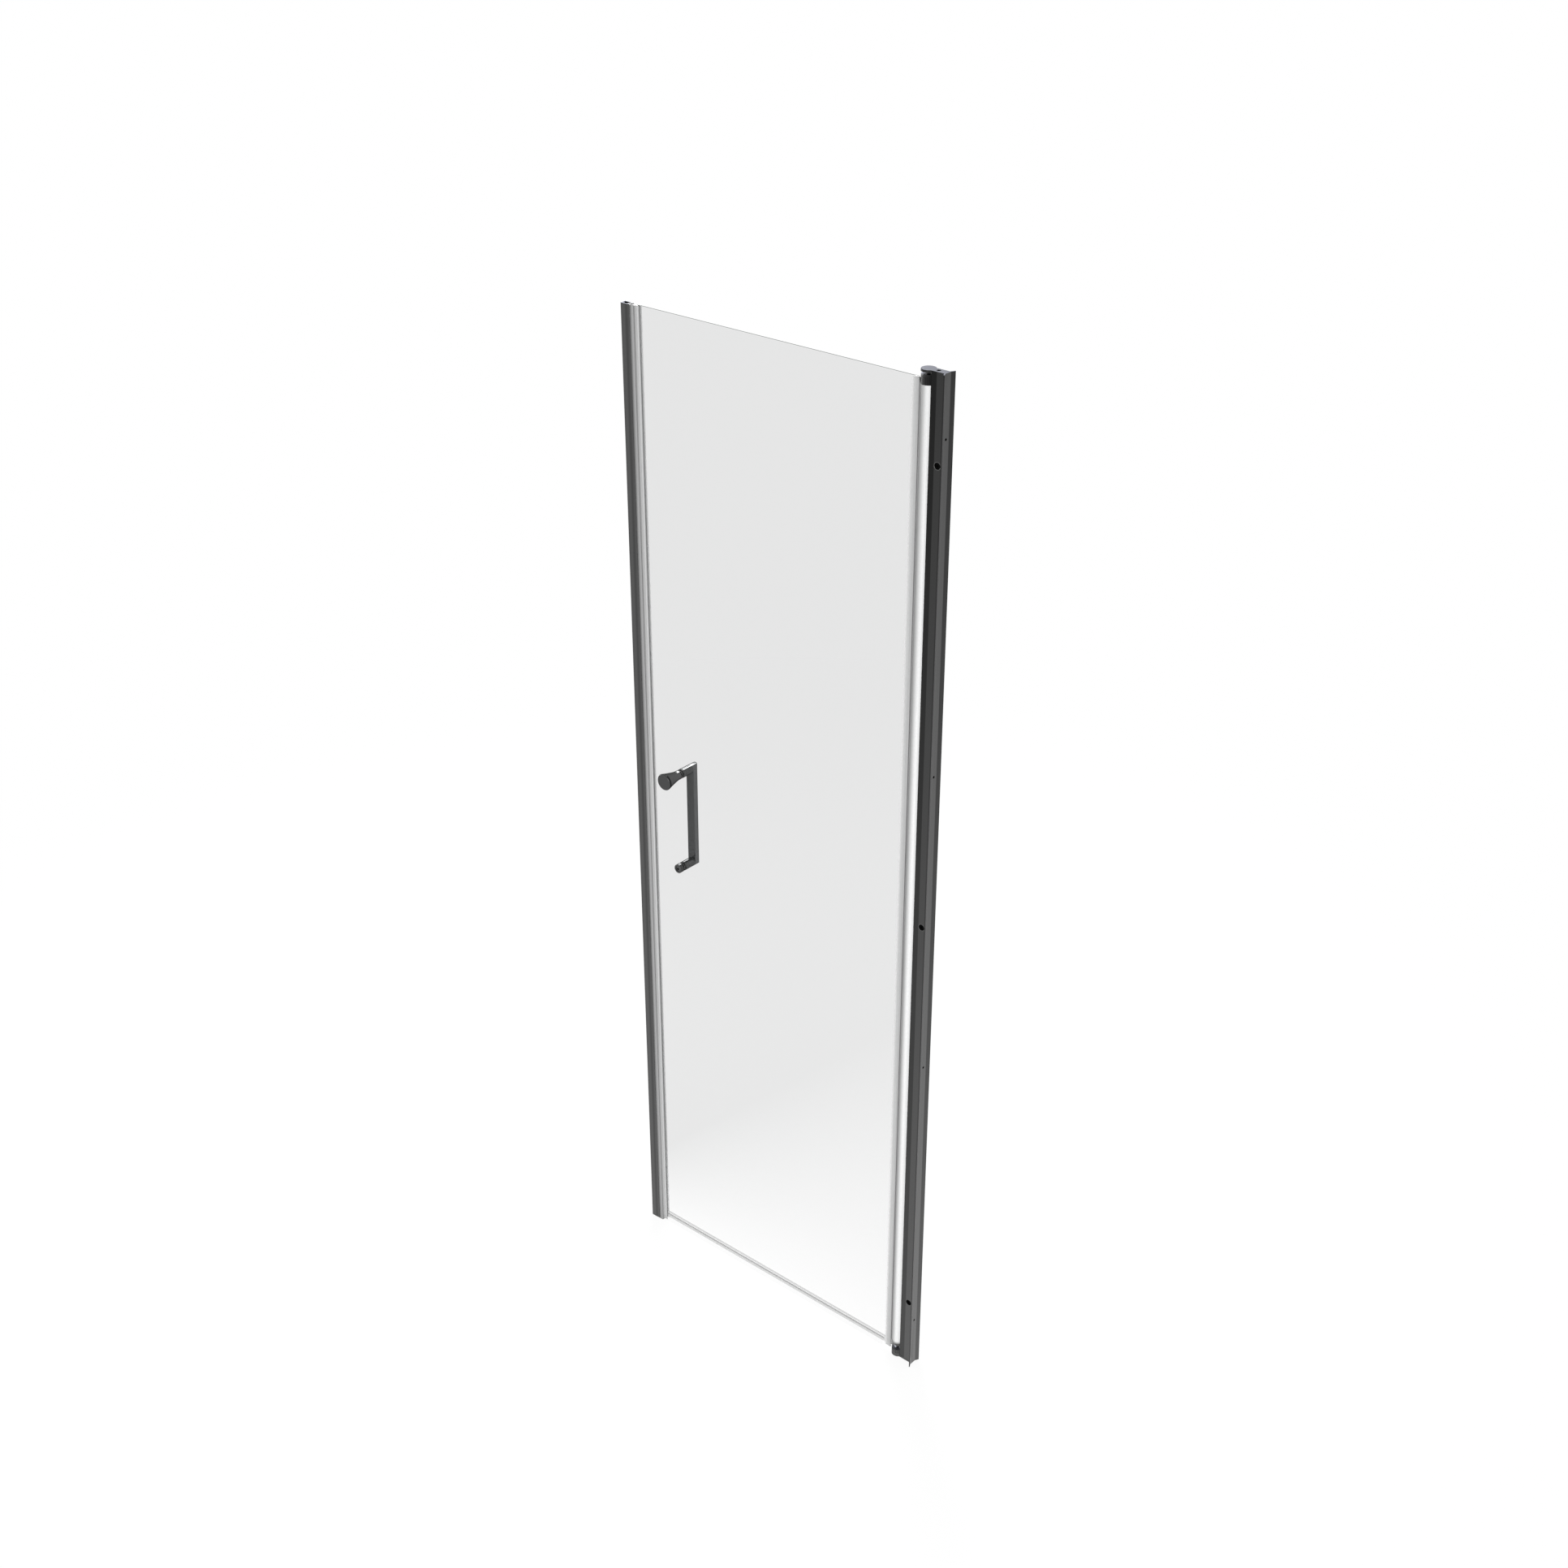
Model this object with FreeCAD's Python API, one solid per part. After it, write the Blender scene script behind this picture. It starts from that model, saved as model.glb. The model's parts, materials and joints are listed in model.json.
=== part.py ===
import FreeCAD, Part
import os

# Pivot shower door for a niche, in millimetres.
# +X points to the hinge wall, -Y into the shower, +Z up.
# The origin is at floor level in the middle of the doorway, on the glass's middle plane.

Vector = FreeCAD.Vector

# Whole door
overall_width = 686.0  # wall to wall
profile_height = 1950.0  # hinge wall profile
glass_thickness = 5.0
glass_bottom = 20.0  # floor to the glass's lower edge
glass_top_drop = 17.0  # glass's upper edge below the hinge profile's top
pivot_to_wall = 40.0
pivot_to_glass = 16.3  # pivot axis to the glass's hinge edge

# Clearances
slide_clearance = 0.3  # telescoping profiles, and parts that turn in the post's cove
seat_clearance = 0.05  # screws and studs in their holes
running_clearance = 0.05  # pins in their bushes
press_clearance = 0.02  # pins in their brackets
grip_clearance = 0.1  # seals and tongues on the glass
magnet_gap = 0.4  # between the two magnetic seals

# Hinge wall profile
flange_half_width = 14.5
flange_hollow = 3.4  # depth of the hollow back
flange_land = 1.4  # flat at each tip that meets the wall
flange_thickness = 2.0
flange_tip = 1.4
web_half_width = 7.2
channel_half_width = 3.6
leg_thickness = 1.6
leg_length = 13.0
wall_hole_radius = 2.25
wall_hole_end = 105.0  # outermost wall hole to the hinge profile's end

# Hinge post
post_wall = 2.0
post_face_from_pivot = 21.0  # where the flat face ends and the nose begins
lip_from_pivot = 10.0
lip_half_width = 7.0
nose_from_pivot = 16.2  # nose block's inner face
port_from_pivot = 19.0
port_radius = 1.75
port_wall = 1.65

# Clamp screws in the post
clamp_from_pivot = 27.6
clamp_end = 147.5  # outermost clamp screw to the hinge profile's end
clamp_hole_radius = 5.8
clamp_head_thickness = 1.3
clamp_shank_radius = 2.5
clamp_shank_end = 0.5  # tip short of the middle plane
clamp_slot_width = 9.6  # open slot in the leg, so that the post can slide
clamp_slot_length = 11.0
nut_width = 9.6
nut_height = 20.0
nut_thickness = 2.4

# Pivot brackets
bracket_thickness = 4.2
bracket_lift = 3.5  # bottom bracket above the floor
disc_radius = 12.2
neck_fillet = 3.0
cup_overlap = 6.0  # bottom arm's start inside the cup, from the pivot
spigot_depth = 6.0
spigot_gap = 1.0
screw_head_radius = 3.5
screw_head_height = 2.4
screw_sink = 0.4
screw_length = 14.0

# Pivot pins, knuckles and index ring
knuckle_radius = 11.6
knuckle_height = 16.0
pivot_gap = 3.8  # disc's underside to the knuckle's top
rib_count = 24
rib_groove_width = 0.9
rib_groove_depth = 0.7
rib_collar = 3.0
top_pin_radius = 3.0
top_pin_seat = 2.6
top_pin_reach = 13.0  # into the knuckle
bush_wall = 1.5
cup_bottom = 1.0
cup_height = 9.0
cup_chamfer = 2.5
ring_height = 8.6
slot_count = 24
slot_width = 1.5
slot_depth = 1.2
slot_floor = 0.6
bottom_pin_radius = 2.8
bottom_pin_seat = 6.0
bottom_spigot_radius = 2.3
bottom_spigot_length = 14.0
shoulder_rise = 8.0  # pin's shoulder above the index ring
washer_thickness = 0.4
washer_radius = 4.4
plug_height = 16.0
heel_top = 10.0  # above the glass's lower edge
tongue_reach = 9.0
tongue_height = 4.0

# Hinge seal
seal_wall = 0.9
hinge_leg_overlap = 15.0
hinge_leg_drop = 9.0  # legs below the glass's lower edge
seal_web = 1.4
bulb_radius = 11.4
bulb_wall = 1.1
bulb_neck_half_width = 1.6

# Strike wall profile and its seal
strike_width = 19.0
strike_half_depth = 5.75
strike_wall = 1.5
strike_base = 2.0
strike_flat = 10.2  # flat part of the front, from the wall
strike_mouth_half_width = 3.5
strike_lip = 2.0
strike_taper = 0.75
strike_seal_reach = 9.8  # seal's face past the profile's mouth
strike_seal_half_width = 5.0
strike_stem_length = 5.2
strike_stem_half_width = 3.3
strike_barb_half_width = 4.0
strike_barb_length = 2.0
magnet_depth = 4.0

# Closing seal on the glass
closing_chamber = 5.8
closing_half_width = 4.6
closing_leg_overlap = 5.5
closing_seal_bottom = 6.0

# Bottom seal
bottom_leg_height = 4.6
bottom_web = 1.2
blade_bottom = 8.0
drip_reach = 9.5
drip_bottom = 10.5
end_gap = 0.5  # between the bottom seal's ends and the upright seals

# Handle
handle_from_edge = 69.5  # from the glass's closing edge
handle_height = 973.5  # floor to the middle between the posts
handle_spacing = 196.0
handle_radius = 8.75
bar_inner = 27.0  # middle plane to the bar's flat face
bar_outer = 43.0
knob_reach = 43.0
knob_radius = 16.0
knob_neck = 5.5
knob_rim = 1.5
cap_reach = 12.0
cap_recess_radius = 5.2
cap_recess_depth = 5.0
gasket_thickness = 1.5
glass_hole_radius = 7.0
sleeve_clearance = 0.1
stud_radius = 3.0
stud_in_post = 15.0
stud_in_knob = 22.0
bolt_head_radius = 4.9
bolt_head_height = 4.0
bolt_socket_width = 5.0
bolt_socket_depth = 2.4

# Places worked out from the sizes above
hinge_wall = overall_width / 2
strike_back = -overall_width / 2
pivot_x = hinge_wall - pivot_to_wall
glass_right = pivot_x - pivot_to_glass
glass_half = glass_thickness / 2
glass_top = profile_height - glass_top_drop
web_back = hinge_wall - flange_hollow
web_front = web_back - flange_thickness
leg_outer = channel_half_width + leg_thickness
post_inner = leg_outer + slide_clearance
post_half = post_inner + post_wall
post_bottom = bracket_lift + bracket_thickness
post_top = profile_height - bracket_thickness
leg_bottom = post_bottom + spigot_depth + spigot_gap
leg_top = post_top - spigot_depth - spigot_gap
post_back = web_front - slide_clearance
port_x = pivot_x + port_from_pivot
port_outer = port_radius + port_wall
clamp_x = pivot_x + clamp_from_pivot
clamp_heights = [clamp_end, profile_height / 2, profile_height - clamp_end]
wall_hole_pitch = (profile_height - 2 * wall_hole_end) / 3
wall_hole_heights = [wall_hole_end + wall_hole_pitch * index for index in range(4)]
cove_radius = knuckle_radius + slide_clearance
cup_top = cup_bottom + cup_height
ring_top = cup_top + ring_height
shoulder = ring_top + shoulder_rise
plug_bottom = shoulder + washer_thickness + running_clearance
bulb_inner = bulb_radius - bulb_wall
knuckle_top = post_top - pivot_gap
knuckle_bottom = knuckle_top - knuckle_height
bulb_bottom = glass_bottom + heel_top + slide_clearance
bulb_top = knuckle_bottom - slide_clearance
grip_inner = glass_half + grip_clearance
grip_outer = grip_inner + seal_wall
hinge_web = glass_right + grip_clearance
hinge_web_outer = hinge_web + seal_web
strike_front = strike_back + strike_width
strike_seal_face = strike_front + strike_seal_reach
closing_face = strike_seal_face + magnet_gap
closing_web = closing_face + closing_chamber
glass_left = closing_web + grip_clearance
handle_x = glass_left + handle_from_edge
handle_z = [handle_height - handle_spacing / 2, handle_height + handle_spacing / 2]
gasket_outer = glass_half + gasket_thickness


def prism(points, bottom, top):
    corners = [Vector(x, y, bottom) for x, y in points]
    face = Part.Face(Part.makePolygon(corners + corners[:1]))
    return face.extrude(Vector(0, 0, top - bottom))


def mirrored_prism(half, bottom, top):
    return prism(half + [(x, -y) for x, y in reversed(half)], bottom, top)


def rail(points, start, end):
    corners = [Vector(start, y, z) for y, z in points]
    face = Part.Face(Part.makePolygon(corners + corners[:1]))
    return face.extrude(Vector(end - start, 0, 0))


def block(x0, x1, y0, y1, z0, z1):
    return Part.makeBox(x1 - x0, y1 - y0, z1 - z0, Vector(x0, y0, z0))


def slab(x0, x1, half, z0, z1):
    return block(x0, x1, -half, half, z0, z1)


def pair(x0, x1, inner, outer, z0, z1):
    return block(x0, x1, inner, outer, z0, z1).fuse(block(x0, x1, -outer, -inner, z0, z1))


def upright(x, radius, bottom, top):
    return Part.makeCylinder(radius, top - bottom, Vector(x, 0, bottom))


def crosswise(x, z, radius, y0, y1):
    return Part.makeCylinder(radius, y1 - y0, Vector(x, y0, z), Vector(0, 1, 0))


def wall_holes(x0, x1):
    axis = Vector(1, 0, 0)
    return [Part.makeCylinder(wall_hole_radius, x1 - x0, Vector(x0, 0, z), axis) for z in wall_hole_heights]


def grooves(count, width, depth, radius, bottom, top):
    tool = block(radius - depth, radius + depth, -width / 2, width / 2, bottom, top)
    tools = []
    for index in range(count):
        copy = tool.copy()
        copy.rotate(Vector(0, 0, 0), Vector(0, 0, 1), 360 * index / count)
        copy.translate(Vector(pivot_x, 0, 0))
        tools.append(copy)
    return tools


def edges_at_circle(shape, radius, z):
    return [
        edge
        for edge in shape.Edges
        if isinstance(edge.Curve, Part.Circle)
        and abs(edge.Curve.Radius - radius) < 0.01
        and abs(edge.Curve.Center.z - z) < 0.01
    ]


def neck_corners(shape, radius):
    return [
        edge
        for edge in shape.Edges
        if isinstance(edge.Curve, Part.Line)
        and abs(edge.Curve.Direction.z) > 0.99
        and abs(edge.CenterOfMass.sub(Vector(pivot_x, 0, edge.CenterOfMass.z)).Length - radius) < 0.01
    ]


def hinge_wall_profile():
    half = [
        (web_back, web_half_width),
        (hinge_wall, flange_half_width - flange_land),
        (hinge_wall, flange_half_width),
        (hinge_wall - flange_tip, flange_half_width),
        (web_front, web_half_width),
    ]
    flange = mirrored_prism(half, 0, profile_height)
    legs = pair(web_front - leg_length, web_back, channel_half_width, leg_outer, leg_bottom, leg_top)
    cuts = wall_holes(web_front, web_back)
    leg_end = web_front - leg_length
    for z in clamp_heights:
        low = z - clamp_slot_width / 2
        high = z + clamp_slot_width / 2
        slot_end = leg_end + clamp_slot_length
        cuts.append(block(leg_end, slot_end, -leg_outer, -channel_half_width, low, high))
    return flange.fuse(legs).cut(cuts).removeSplitter()


def hinge_post():
    half = [
        (pivot_x + lip_from_pivot, lip_half_width),
        (pivot_x + post_face_from_pivot, post_half),
        (post_back, post_half),
    ]
    sleeve = mirrored_prism(half, post_bottom, post_top)
    hollow = slab(pivot_x + nose_from_pivot, post_back, post_inner, post_bottom, post_top)
    port = upright(port_x, port_outer, post_bottom, post_top)
    sleeve = sleeve.cut(hollow).fuse(port)
    cuts = [
        upright(pivot_x, cove_radius, post_bottom, post_top),
        upright(port_x, port_radius, post_bottom, post_top),
    ]
    cuts += [crosswise(clamp_x, z, clamp_hole_radius, -post_half, -post_inner) for z in clamp_heights]
    return sleeve.cut(cuts).removeSplitter()


def post_clamp_screws():
    head_radius = clamp_hole_radius - seat_clearance
    screws = []
    for z in clamp_heights:
        head = crosswise(clamp_x, z, head_radius, -leg_outer - clamp_head_thickness, -leg_outer)
        shank = crosswise(clamp_x, z, clamp_shank_radius, -leg_outer, -clamp_shank_end)
        screws.append(head.fuse(shank))
    return Part.makeCompound(screws)


def post_clamp_nuts():
    outer = -channel_half_width
    hole_radius = clamp_shank_radius + grip_clearance
    nuts = []
    for z in clamp_heights:
        plate = block(
            clamp_x - nut_width / 2,
            clamp_x + nut_width / 2,
            outer,
            outer + nut_thickness,
            z - nut_height / 2,
            z + nut_height / 2,
        )
        nuts.append(plate.cut(crosswise(clamp_x, z, hole_radius, outer, outer + nut_thickness)))
    return Part.makeCompound(nuts)


def bracket_blank(bottom, top, round_radius):
    plate = slab(pivot_x, post_back, post_half, bottom, top)
    pad = upright(pivot_x, round_radius, bottom, top)
    blank = pad.fuse(plate).removeSplitter()
    return blank.makeFillet(neck_fillet, neck_corners(blank, round_radius))


def spigot(bottom, top):
    half = post_inner - slide_clearance
    return slab(port_x + port_outer + slide_clearance, post_back, half, bottom, top)


def top_pivot_bracket():
    bracket = bracket_blank(post_top, profile_height, disc_radius)
    bracket = bracket.fuse(spigot(post_top - spigot_depth, post_top)).removeSplitter()
    head = profile_height - screw_sink - screw_head_height
    cuts = [
        upright(pivot_x, top_pin_radius + press_clearance, post_top, post_top + top_pin_seat),
        upright(port_x, screw_head_radius + seat_clearance, head, profile_height),
        upright(port_x, port_radius + seat_clearance, post_top, head),
    ]
    return bracket.cut(cuts)


def bottom_pivot_bracket():
    cup = upright(pivot_x, knuckle_radius, cup_bottom, cup_top)
    cup = cup.makeChamfer(cup_chamfer, edges_at_circle(cup, knuckle_radius, cup_bottom))
    clip = slab(pivot_x + cup_overlap, post_back, knuckle_radius, bracket_lift, post_bottom)
    arm = bracket_blank(bracket_lift, post_bottom, knuckle_radius).common(clip)
    bracket = cup.fuse([arm, spigot(post_bottom, post_bottom + spigot_depth)]).removeSplitter()
    head = bracket_lift + screw_sink + screw_head_height
    cuts = [
        upright(pivot_x, bottom_pin_radius + press_clearance, cup_top - bottom_pin_seat, cup_top),
        upright(port_x, screw_head_radius + seat_clearance, bracket_lift, head),
        upright(port_x, port_radius + seat_clearance, head, post_bottom),
    ]
    return bracket.cut(cuts)


def bracket_screws():
    shank_radius = port_radius - seat_clearance
    top_seat = profile_height - screw_sink - screw_head_height
    bottom_seat = bracket_lift + screw_sink + screw_head_height
    top_head = upright(port_x, screw_head_radius, top_seat, top_seat + screw_head_height)
    top_shank = upright(port_x, shank_radius, top_seat - screw_length, top_seat)
    bottom_head = upright(port_x, screw_head_radius, bottom_seat - screw_head_height, bottom_seat)
    bottom_shank = upright(port_x, shank_radius, bottom_seat, bottom_seat + screw_length)
    return Part.makeCompound([top_head.fuse(top_shank), bottom_head.fuse(bottom_shank)])


def top_pivot_pin():
    return upright(pivot_x, top_pin_radius, knuckle_top - top_pin_reach, post_top + top_pin_seat)


def bottom_pivot_pin():
    shank = upright(pivot_x, bottom_pin_radius, cup_top - bottom_pin_seat, shoulder)
    spigot_end = upright(pivot_x, bottom_spigot_radius, shoulder, shoulder + bottom_spigot_length)
    return shank.fuse(spigot_end)


def index_ring():
    ring = upright(pivot_x, knuckle_radius, cup_top, ring_top)
    cuts = grooves(slot_count, slot_width, slot_depth, knuckle_radius, cup_top + slot_floor, ring_top)
    cuts.append(upright(pivot_x, bottom_pin_radius + press_clearance, cup_top, ring_top))
    return ring.cut(cuts)


def thrust_washer():
    top = shoulder + washer_thickness
    disc = upright(pivot_x, washer_radius, shoulder, top)
    return disc.cut(upright(pivot_x, bottom_spigot_radius + seat_clearance, shoulder, top))


def strike_wall_profile():
    outer = [
        (strike_back, strike_half_depth),
        (strike_back + strike_flat, strike_half_depth),
        (strike_front, strike_half_depth - strike_taper),
    ]
    channel_half = strike_half_depth - strike_wall
    lip_start = strike_front - strike_lip
    inner = [
        (strike_back + strike_base, channel_half),
        (lip_start - (channel_half - strike_mouth_half_width), channel_half),
        (lip_start, strike_mouth_half_width),
        (strike_front, strike_mouth_half_width),
    ]
    profile = mirrored_prism(outer, 0, glass_top).cut(mirrored_prism(inner, 0, glass_top))
    return profile.cut(wall_holes(strike_back, strike_back + strike_base))


def strike_chamber():
    start = strike_seal_face - seal_wall - magnet_depth
    return start, strike_seal_face - seal_wall, strike_seal_half_width - seal_wall


def strike_seal():
    body_back = strike_front + slide_clearance
    start, end, half = strike_chamber()
    barb_end = strike_front - strike_stem_length + strike_barb_length
    body = slab(body_back, strike_seal_face, strike_seal_half_width, 0, glass_top)
    stem_start = strike_front - strike_stem_length
    stem = slab(stem_start, body_back, strike_stem_half_width, 0, glass_top)
    barbs = [(stem_start, strike_stem_half_width), (barb_end, strike_barb_half_width)]
    seal = body.fuse([stem, mirrored_prism(barbs, 0, glass_top)]).removeSplitter()
    return seal.cut(slab(start, end, half, 0, glass_top))


def strike_magnet():
    start, end, half = strike_chamber()
    gap = grip_clearance
    return block(start + gap, end - gap, gap - half, half - gap, 0, glass_top)


def glass_panel():
    panel = slab(glass_left, glass_right, glass_half, glass_bottom, glass_top)
    cuts = [crosswise(handle_x, z, glass_hole_radius, -glass_half, glass_half) for z in handle_z]
    notch_start = glass_right - tongue_reach - grip_clearance
    notch = tongue_height + grip_clearance
    for bottom in (glass_bottom, glass_top - notch):
        cuts.append(slab(notch_start, glass_right, glass_half, bottom, bottom + notch))
    return panel.cut(cuts)


def hinge_seal():
    legs = pair(
        glass_right - hinge_leg_overlap,
        hinge_web_outer,
        grip_inner,
        grip_outer,
        glass_bottom - hinge_leg_drop,
        glass_top,
    )
    web = slab(hinge_web, hinge_web_outer, grip_outer, bulb_bottom, bulb_top)
    neck_end = pivot_x - bulb_inner
    neck = slab(hinge_web_outer, neck_end, bulb_neck_half_width, bulb_bottom, bulb_top)
    bulb = upright(pivot_x, bulb_radius, bulb_bottom, bulb_top)
    bore = upright(pivot_x, bulb_inner, bulb_bottom, bulb_top)
    return legs.fuse([web, neck, bulb]).cut(bore).removeSplitter()


def top_knuckle():
    body = upright(pivot_x, knuckle_radius, knuckle_bottom, knuckle_top)
    cuts = grooves(
        rib_count,
        rib_groove_width,
        rib_groove_depth,
        knuckle_radius,
        knuckle_bottom,
        knuckle_top - rib_collar,
    )
    half = glass_half - grip_clearance
    tongue = slab(
        glass_right - tongue_reach,
        pivot_x - knuckle_radius / 2,
        half,
        glass_top - tongue_height,
        glass_top,
    )
    bore = top_pin_radius + running_clearance + bush_wall + seat_clearance
    hole = upright(pivot_x, bore, knuckle_bottom, knuckle_top)
    return body.cut(cuts).fuse(tongue).cut(hole).removeSplitter()


def top_bush():
    bore = top_pin_radius + running_clearance
    sleeve = upright(pivot_x, bore + bush_wall, knuckle_bottom, knuckle_top)
    return sleeve.cut(upright(pivot_x, bore, knuckle_bottom, knuckle_top))


def bottom_knuckle():
    plug_radius = bulb_inner - grip_clearance
    plug = upright(pivot_x, plug_radius, plug_bottom, plug_bottom + plug_height)
    half = glass_half - grip_clearance
    heel_end = pivot_x - plug_radius / 2
    heel = slab(hinge_web, heel_end, half, plug_bottom, glass_bottom + heel_top)
    post = slab(hinge_web, pivot_x - knuckle_radius, half, glass_bottom, glass_bottom + heel_top)
    tongue = slab(
        glass_right - tongue_reach, hinge_web, half, glass_bottom, glass_bottom + tongue_height
    )
    bore = upright(
        pivot_x, bottom_spigot_radius + running_clearance, plug_bottom, plug_bottom + plug_height
    )
    return plug.fuse([heel, post, tongue]).cut(bore).removeSplitter()


def closing_cavity():
    return closing_face + seal_wall, closing_web - seal_wall, closing_half_width - seal_wall


def closing_seal():
    start, end, half = closing_cavity()
    bottom = closing_seal_bottom
    chamber = slab(closing_face, closing_web, closing_half_width, bottom, glass_top)
    legs = pair(closing_web, glass_left + closing_leg_overlap, grip_inner, grip_outer, bottom, glass_top)
    seal = chamber.fuse(legs).removeSplitter()
    return seal.cut(slab(start, end, half, bottom, glass_top))


def door_magnet():
    start, end, half = closing_cavity()
    gap = grip_clearance
    return block(start + gap, end - gap, gap - half, half - gap, closing_seal_bottom, glass_top)


def bottom_seal():
    start = glass_left + closing_leg_overlap + end_gap
    end = glass_right - hinge_leg_overlap - end_gap
    web_top = glass_bottom - grip_clearance
    web_bottom = web_top - bottom_web
    leg_end = glass_bottom + bottom_leg_height
    clip = [
        (-grip_outer, web_bottom),
        (-grip_outer, leg_end),
        (-grip_inner, leg_end),
        (-grip_inner, web_top),
        (grip_inner, web_top),
        (grip_inner, leg_end),
        (grip_outer, leg_end),
        (grip_outer, blade_bottom),
        (grip_inner, blade_bottom),
        (grip_inner, web_bottom),
    ]
    drip = [
        (-grip_outer, web_bottom),
        (-grip_outer, web_bottom + bottom_web),
        (-drip_reach - seal_wall / 2, drip_bottom),
        (-drip_reach + seal_wall / 2, drip_bottom),
    ]
    return rail(clip, start, end).fuse(rail(drip, start, end)).removeSplitter()


def pull_handle():
    bar_centre = bar_outer - handle_radius
    low, high = handle_z
    reach = handle_radius
    back = block(
        handle_x - reach, handle_x + reach, bar_inner, bar_centre, low - reach, high + reach
    )
    front = Part.makeCylinder(reach, high - low + 2 * reach, Vector(handle_x, bar_centre, low - reach))
    outline = block(handle_x - reach, handle_x + reach, bar_inner, bar_outer, low, high)
    outline = outline.fuse([crosswise(handle_x, z, reach, bar_inner, bar_outer) for z in handle_z])
    bar = back.fuse(front).common(outline)
    posts = [crosswise(handle_x, z, reach, gasket_outer, bar_centre) for z in handle_z]
    bore_radius = stud_radius + seat_clearance
    bores = [crosswise(handle_x, z, bore_radius, gasket_outer, gasket_outer + stud_in_post) for z in handle_z]
    return bar.fuse(posts).removeSplitter().cut(bores)


def inside_knob():
    low, high = handle_z
    neck_end = -gasket_outer - knob_neck
    outline = [
        (0, -gasket_outer),
        (handle_radius, -gasket_outer),
        (handle_radius, neck_end),
        (knob_radius, -knob_reach + knob_rim),
        (knob_radius - knob_rim, -knob_reach),
        (0, -knob_reach),
    ]
    section = Part.Face(Part.makePolygon([Vector(handle_x + r, y, high) for r, y in outline + outline[:1]]))
    knob = section.revolve(Vector(handle_x, 0, high), Vector(0, 1, 0), 360)
    bore = crosswise(
        handle_x, high, stud_radius + seat_clearance, -gasket_outer - stud_in_knob, -gasket_outer
    )
    return knob.cut(bore)


def inside_cap():
    low, high = handle_z
    cap = crosswise(handle_x, low, handle_radius, -cap_reach, -gasket_outer)
    recess_floor = -cap_reach + cap_recess_depth
    recess = crosswise(handle_x, low, cap_recess_radius, -cap_reach, recess_floor)
    bore = crosswise(handle_x, low, stud_radius + seat_clearance, recess_floor, -gasket_outer)
    return cap.cut([recess, bore])


def gaskets(y0, y1):
    rings = []
    for z in handle_z:
        ring = crosswise(handle_x, z, handle_radius, y0, y1)
        rings.append(ring.cut(crosswise(handle_x, z, stud_radius + sleeve_clearance, y0, y1)))
    return Part.makeCompound(rings)


def hole_sleeves():
    sleeves = []
    for z in handle_z:
        sleeve = crosswise(handle_x, z, glass_hole_radius - sleeve_clearance, -glass_half, glass_half)
        bore = crosswise(handle_x, z, stud_radius + sleeve_clearance, -glass_half, glass_half)
        sleeves.append(sleeve.cut(bore))
    return Part.makeCompound(sleeves)


def upper_handle_stud():
    low, high = handle_z
    return crosswise(handle_x, high, stud_radius, -gasket_outer - stud_in_knob, gasket_outer + stud_in_post)


def lower_handle_bolt():
    low, high = handle_z
    seat = -cap_reach + cap_recess_depth
    head = crosswise(handle_x, low, bolt_head_radius, seat - bolt_head_height, seat)
    shank = crosswise(handle_x, low, stud_radius, seat, gasket_outer + stud_in_post)
    corner = Vector(bolt_socket_width / 3**0.5, 0, 0)
    centre = Vector(handle_x, seat - bolt_head_height, low)
    axis = Vector(0, 1, 0)
    corners = [centre + FreeCAD.Rotation(axis, 60 * turn).multVec(corner) for turn in range(7)]
    socket = Part.Face(Part.makePolygon(corners)).extrude(axis * bolt_socket_depth)
    return head.fuse(shank).cut(socket)


parts = {
    "hinge_wall_profile": hinge_wall_profile(),
    "hinge_post": hinge_post(),
    "post_clamp_screws": post_clamp_screws(),
    "post_clamp_nuts": post_clamp_nuts(),
    "top_pivot_bracket": top_pivot_bracket(),
    "bottom_pivot_bracket": bottom_pivot_bracket(),
    "bracket_screws": bracket_screws(),
    "top_pivot_pin": top_pivot_pin(),
    "bottom_pivot_pin": bottom_pivot_pin(),
    "index_ring": index_ring(),
    "thrust_washer": thrust_washer(),
    "strike_wall_profile": strike_wall_profile(),
    "strike_seal": strike_seal(),
    "strike_magnet": strike_magnet(),
    "glass_panel": glass_panel(),
    "hinge_seal": hinge_seal(),
    "closing_seal": closing_seal(),
    "door_magnet": door_magnet(),
    "bottom_seal": bottom_seal(),
    "top_knuckle": top_knuckle(),
    "top_bush": top_bush(),
    "bottom_knuckle": bottom_knuckle(),
    "pull_handle": pull_handle(),
    "inside_knob": inside_knob(),
    "inside_cap": inside_cap(),
    "outside_gaskets": gaskets(glass_half, gasket_outer),
    "inside_gaskets": gaskets(-gasket_outer, -glass_half),
    "hole_sleeves": hole_sleeves(),
    "upper_handle_stud": upper_handle_stud(),
    "lower_handle_bolt": lower_handle_bolt(),
}

os.makedirs("parts", exist_ok=True)
for name, shape in parts.items():
    shape.exportStep(os.path.join("parts", name + ".step"))
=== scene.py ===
import bpy
import bmesh
import json
import math
from mathutils import Matrix, Vector


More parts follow.
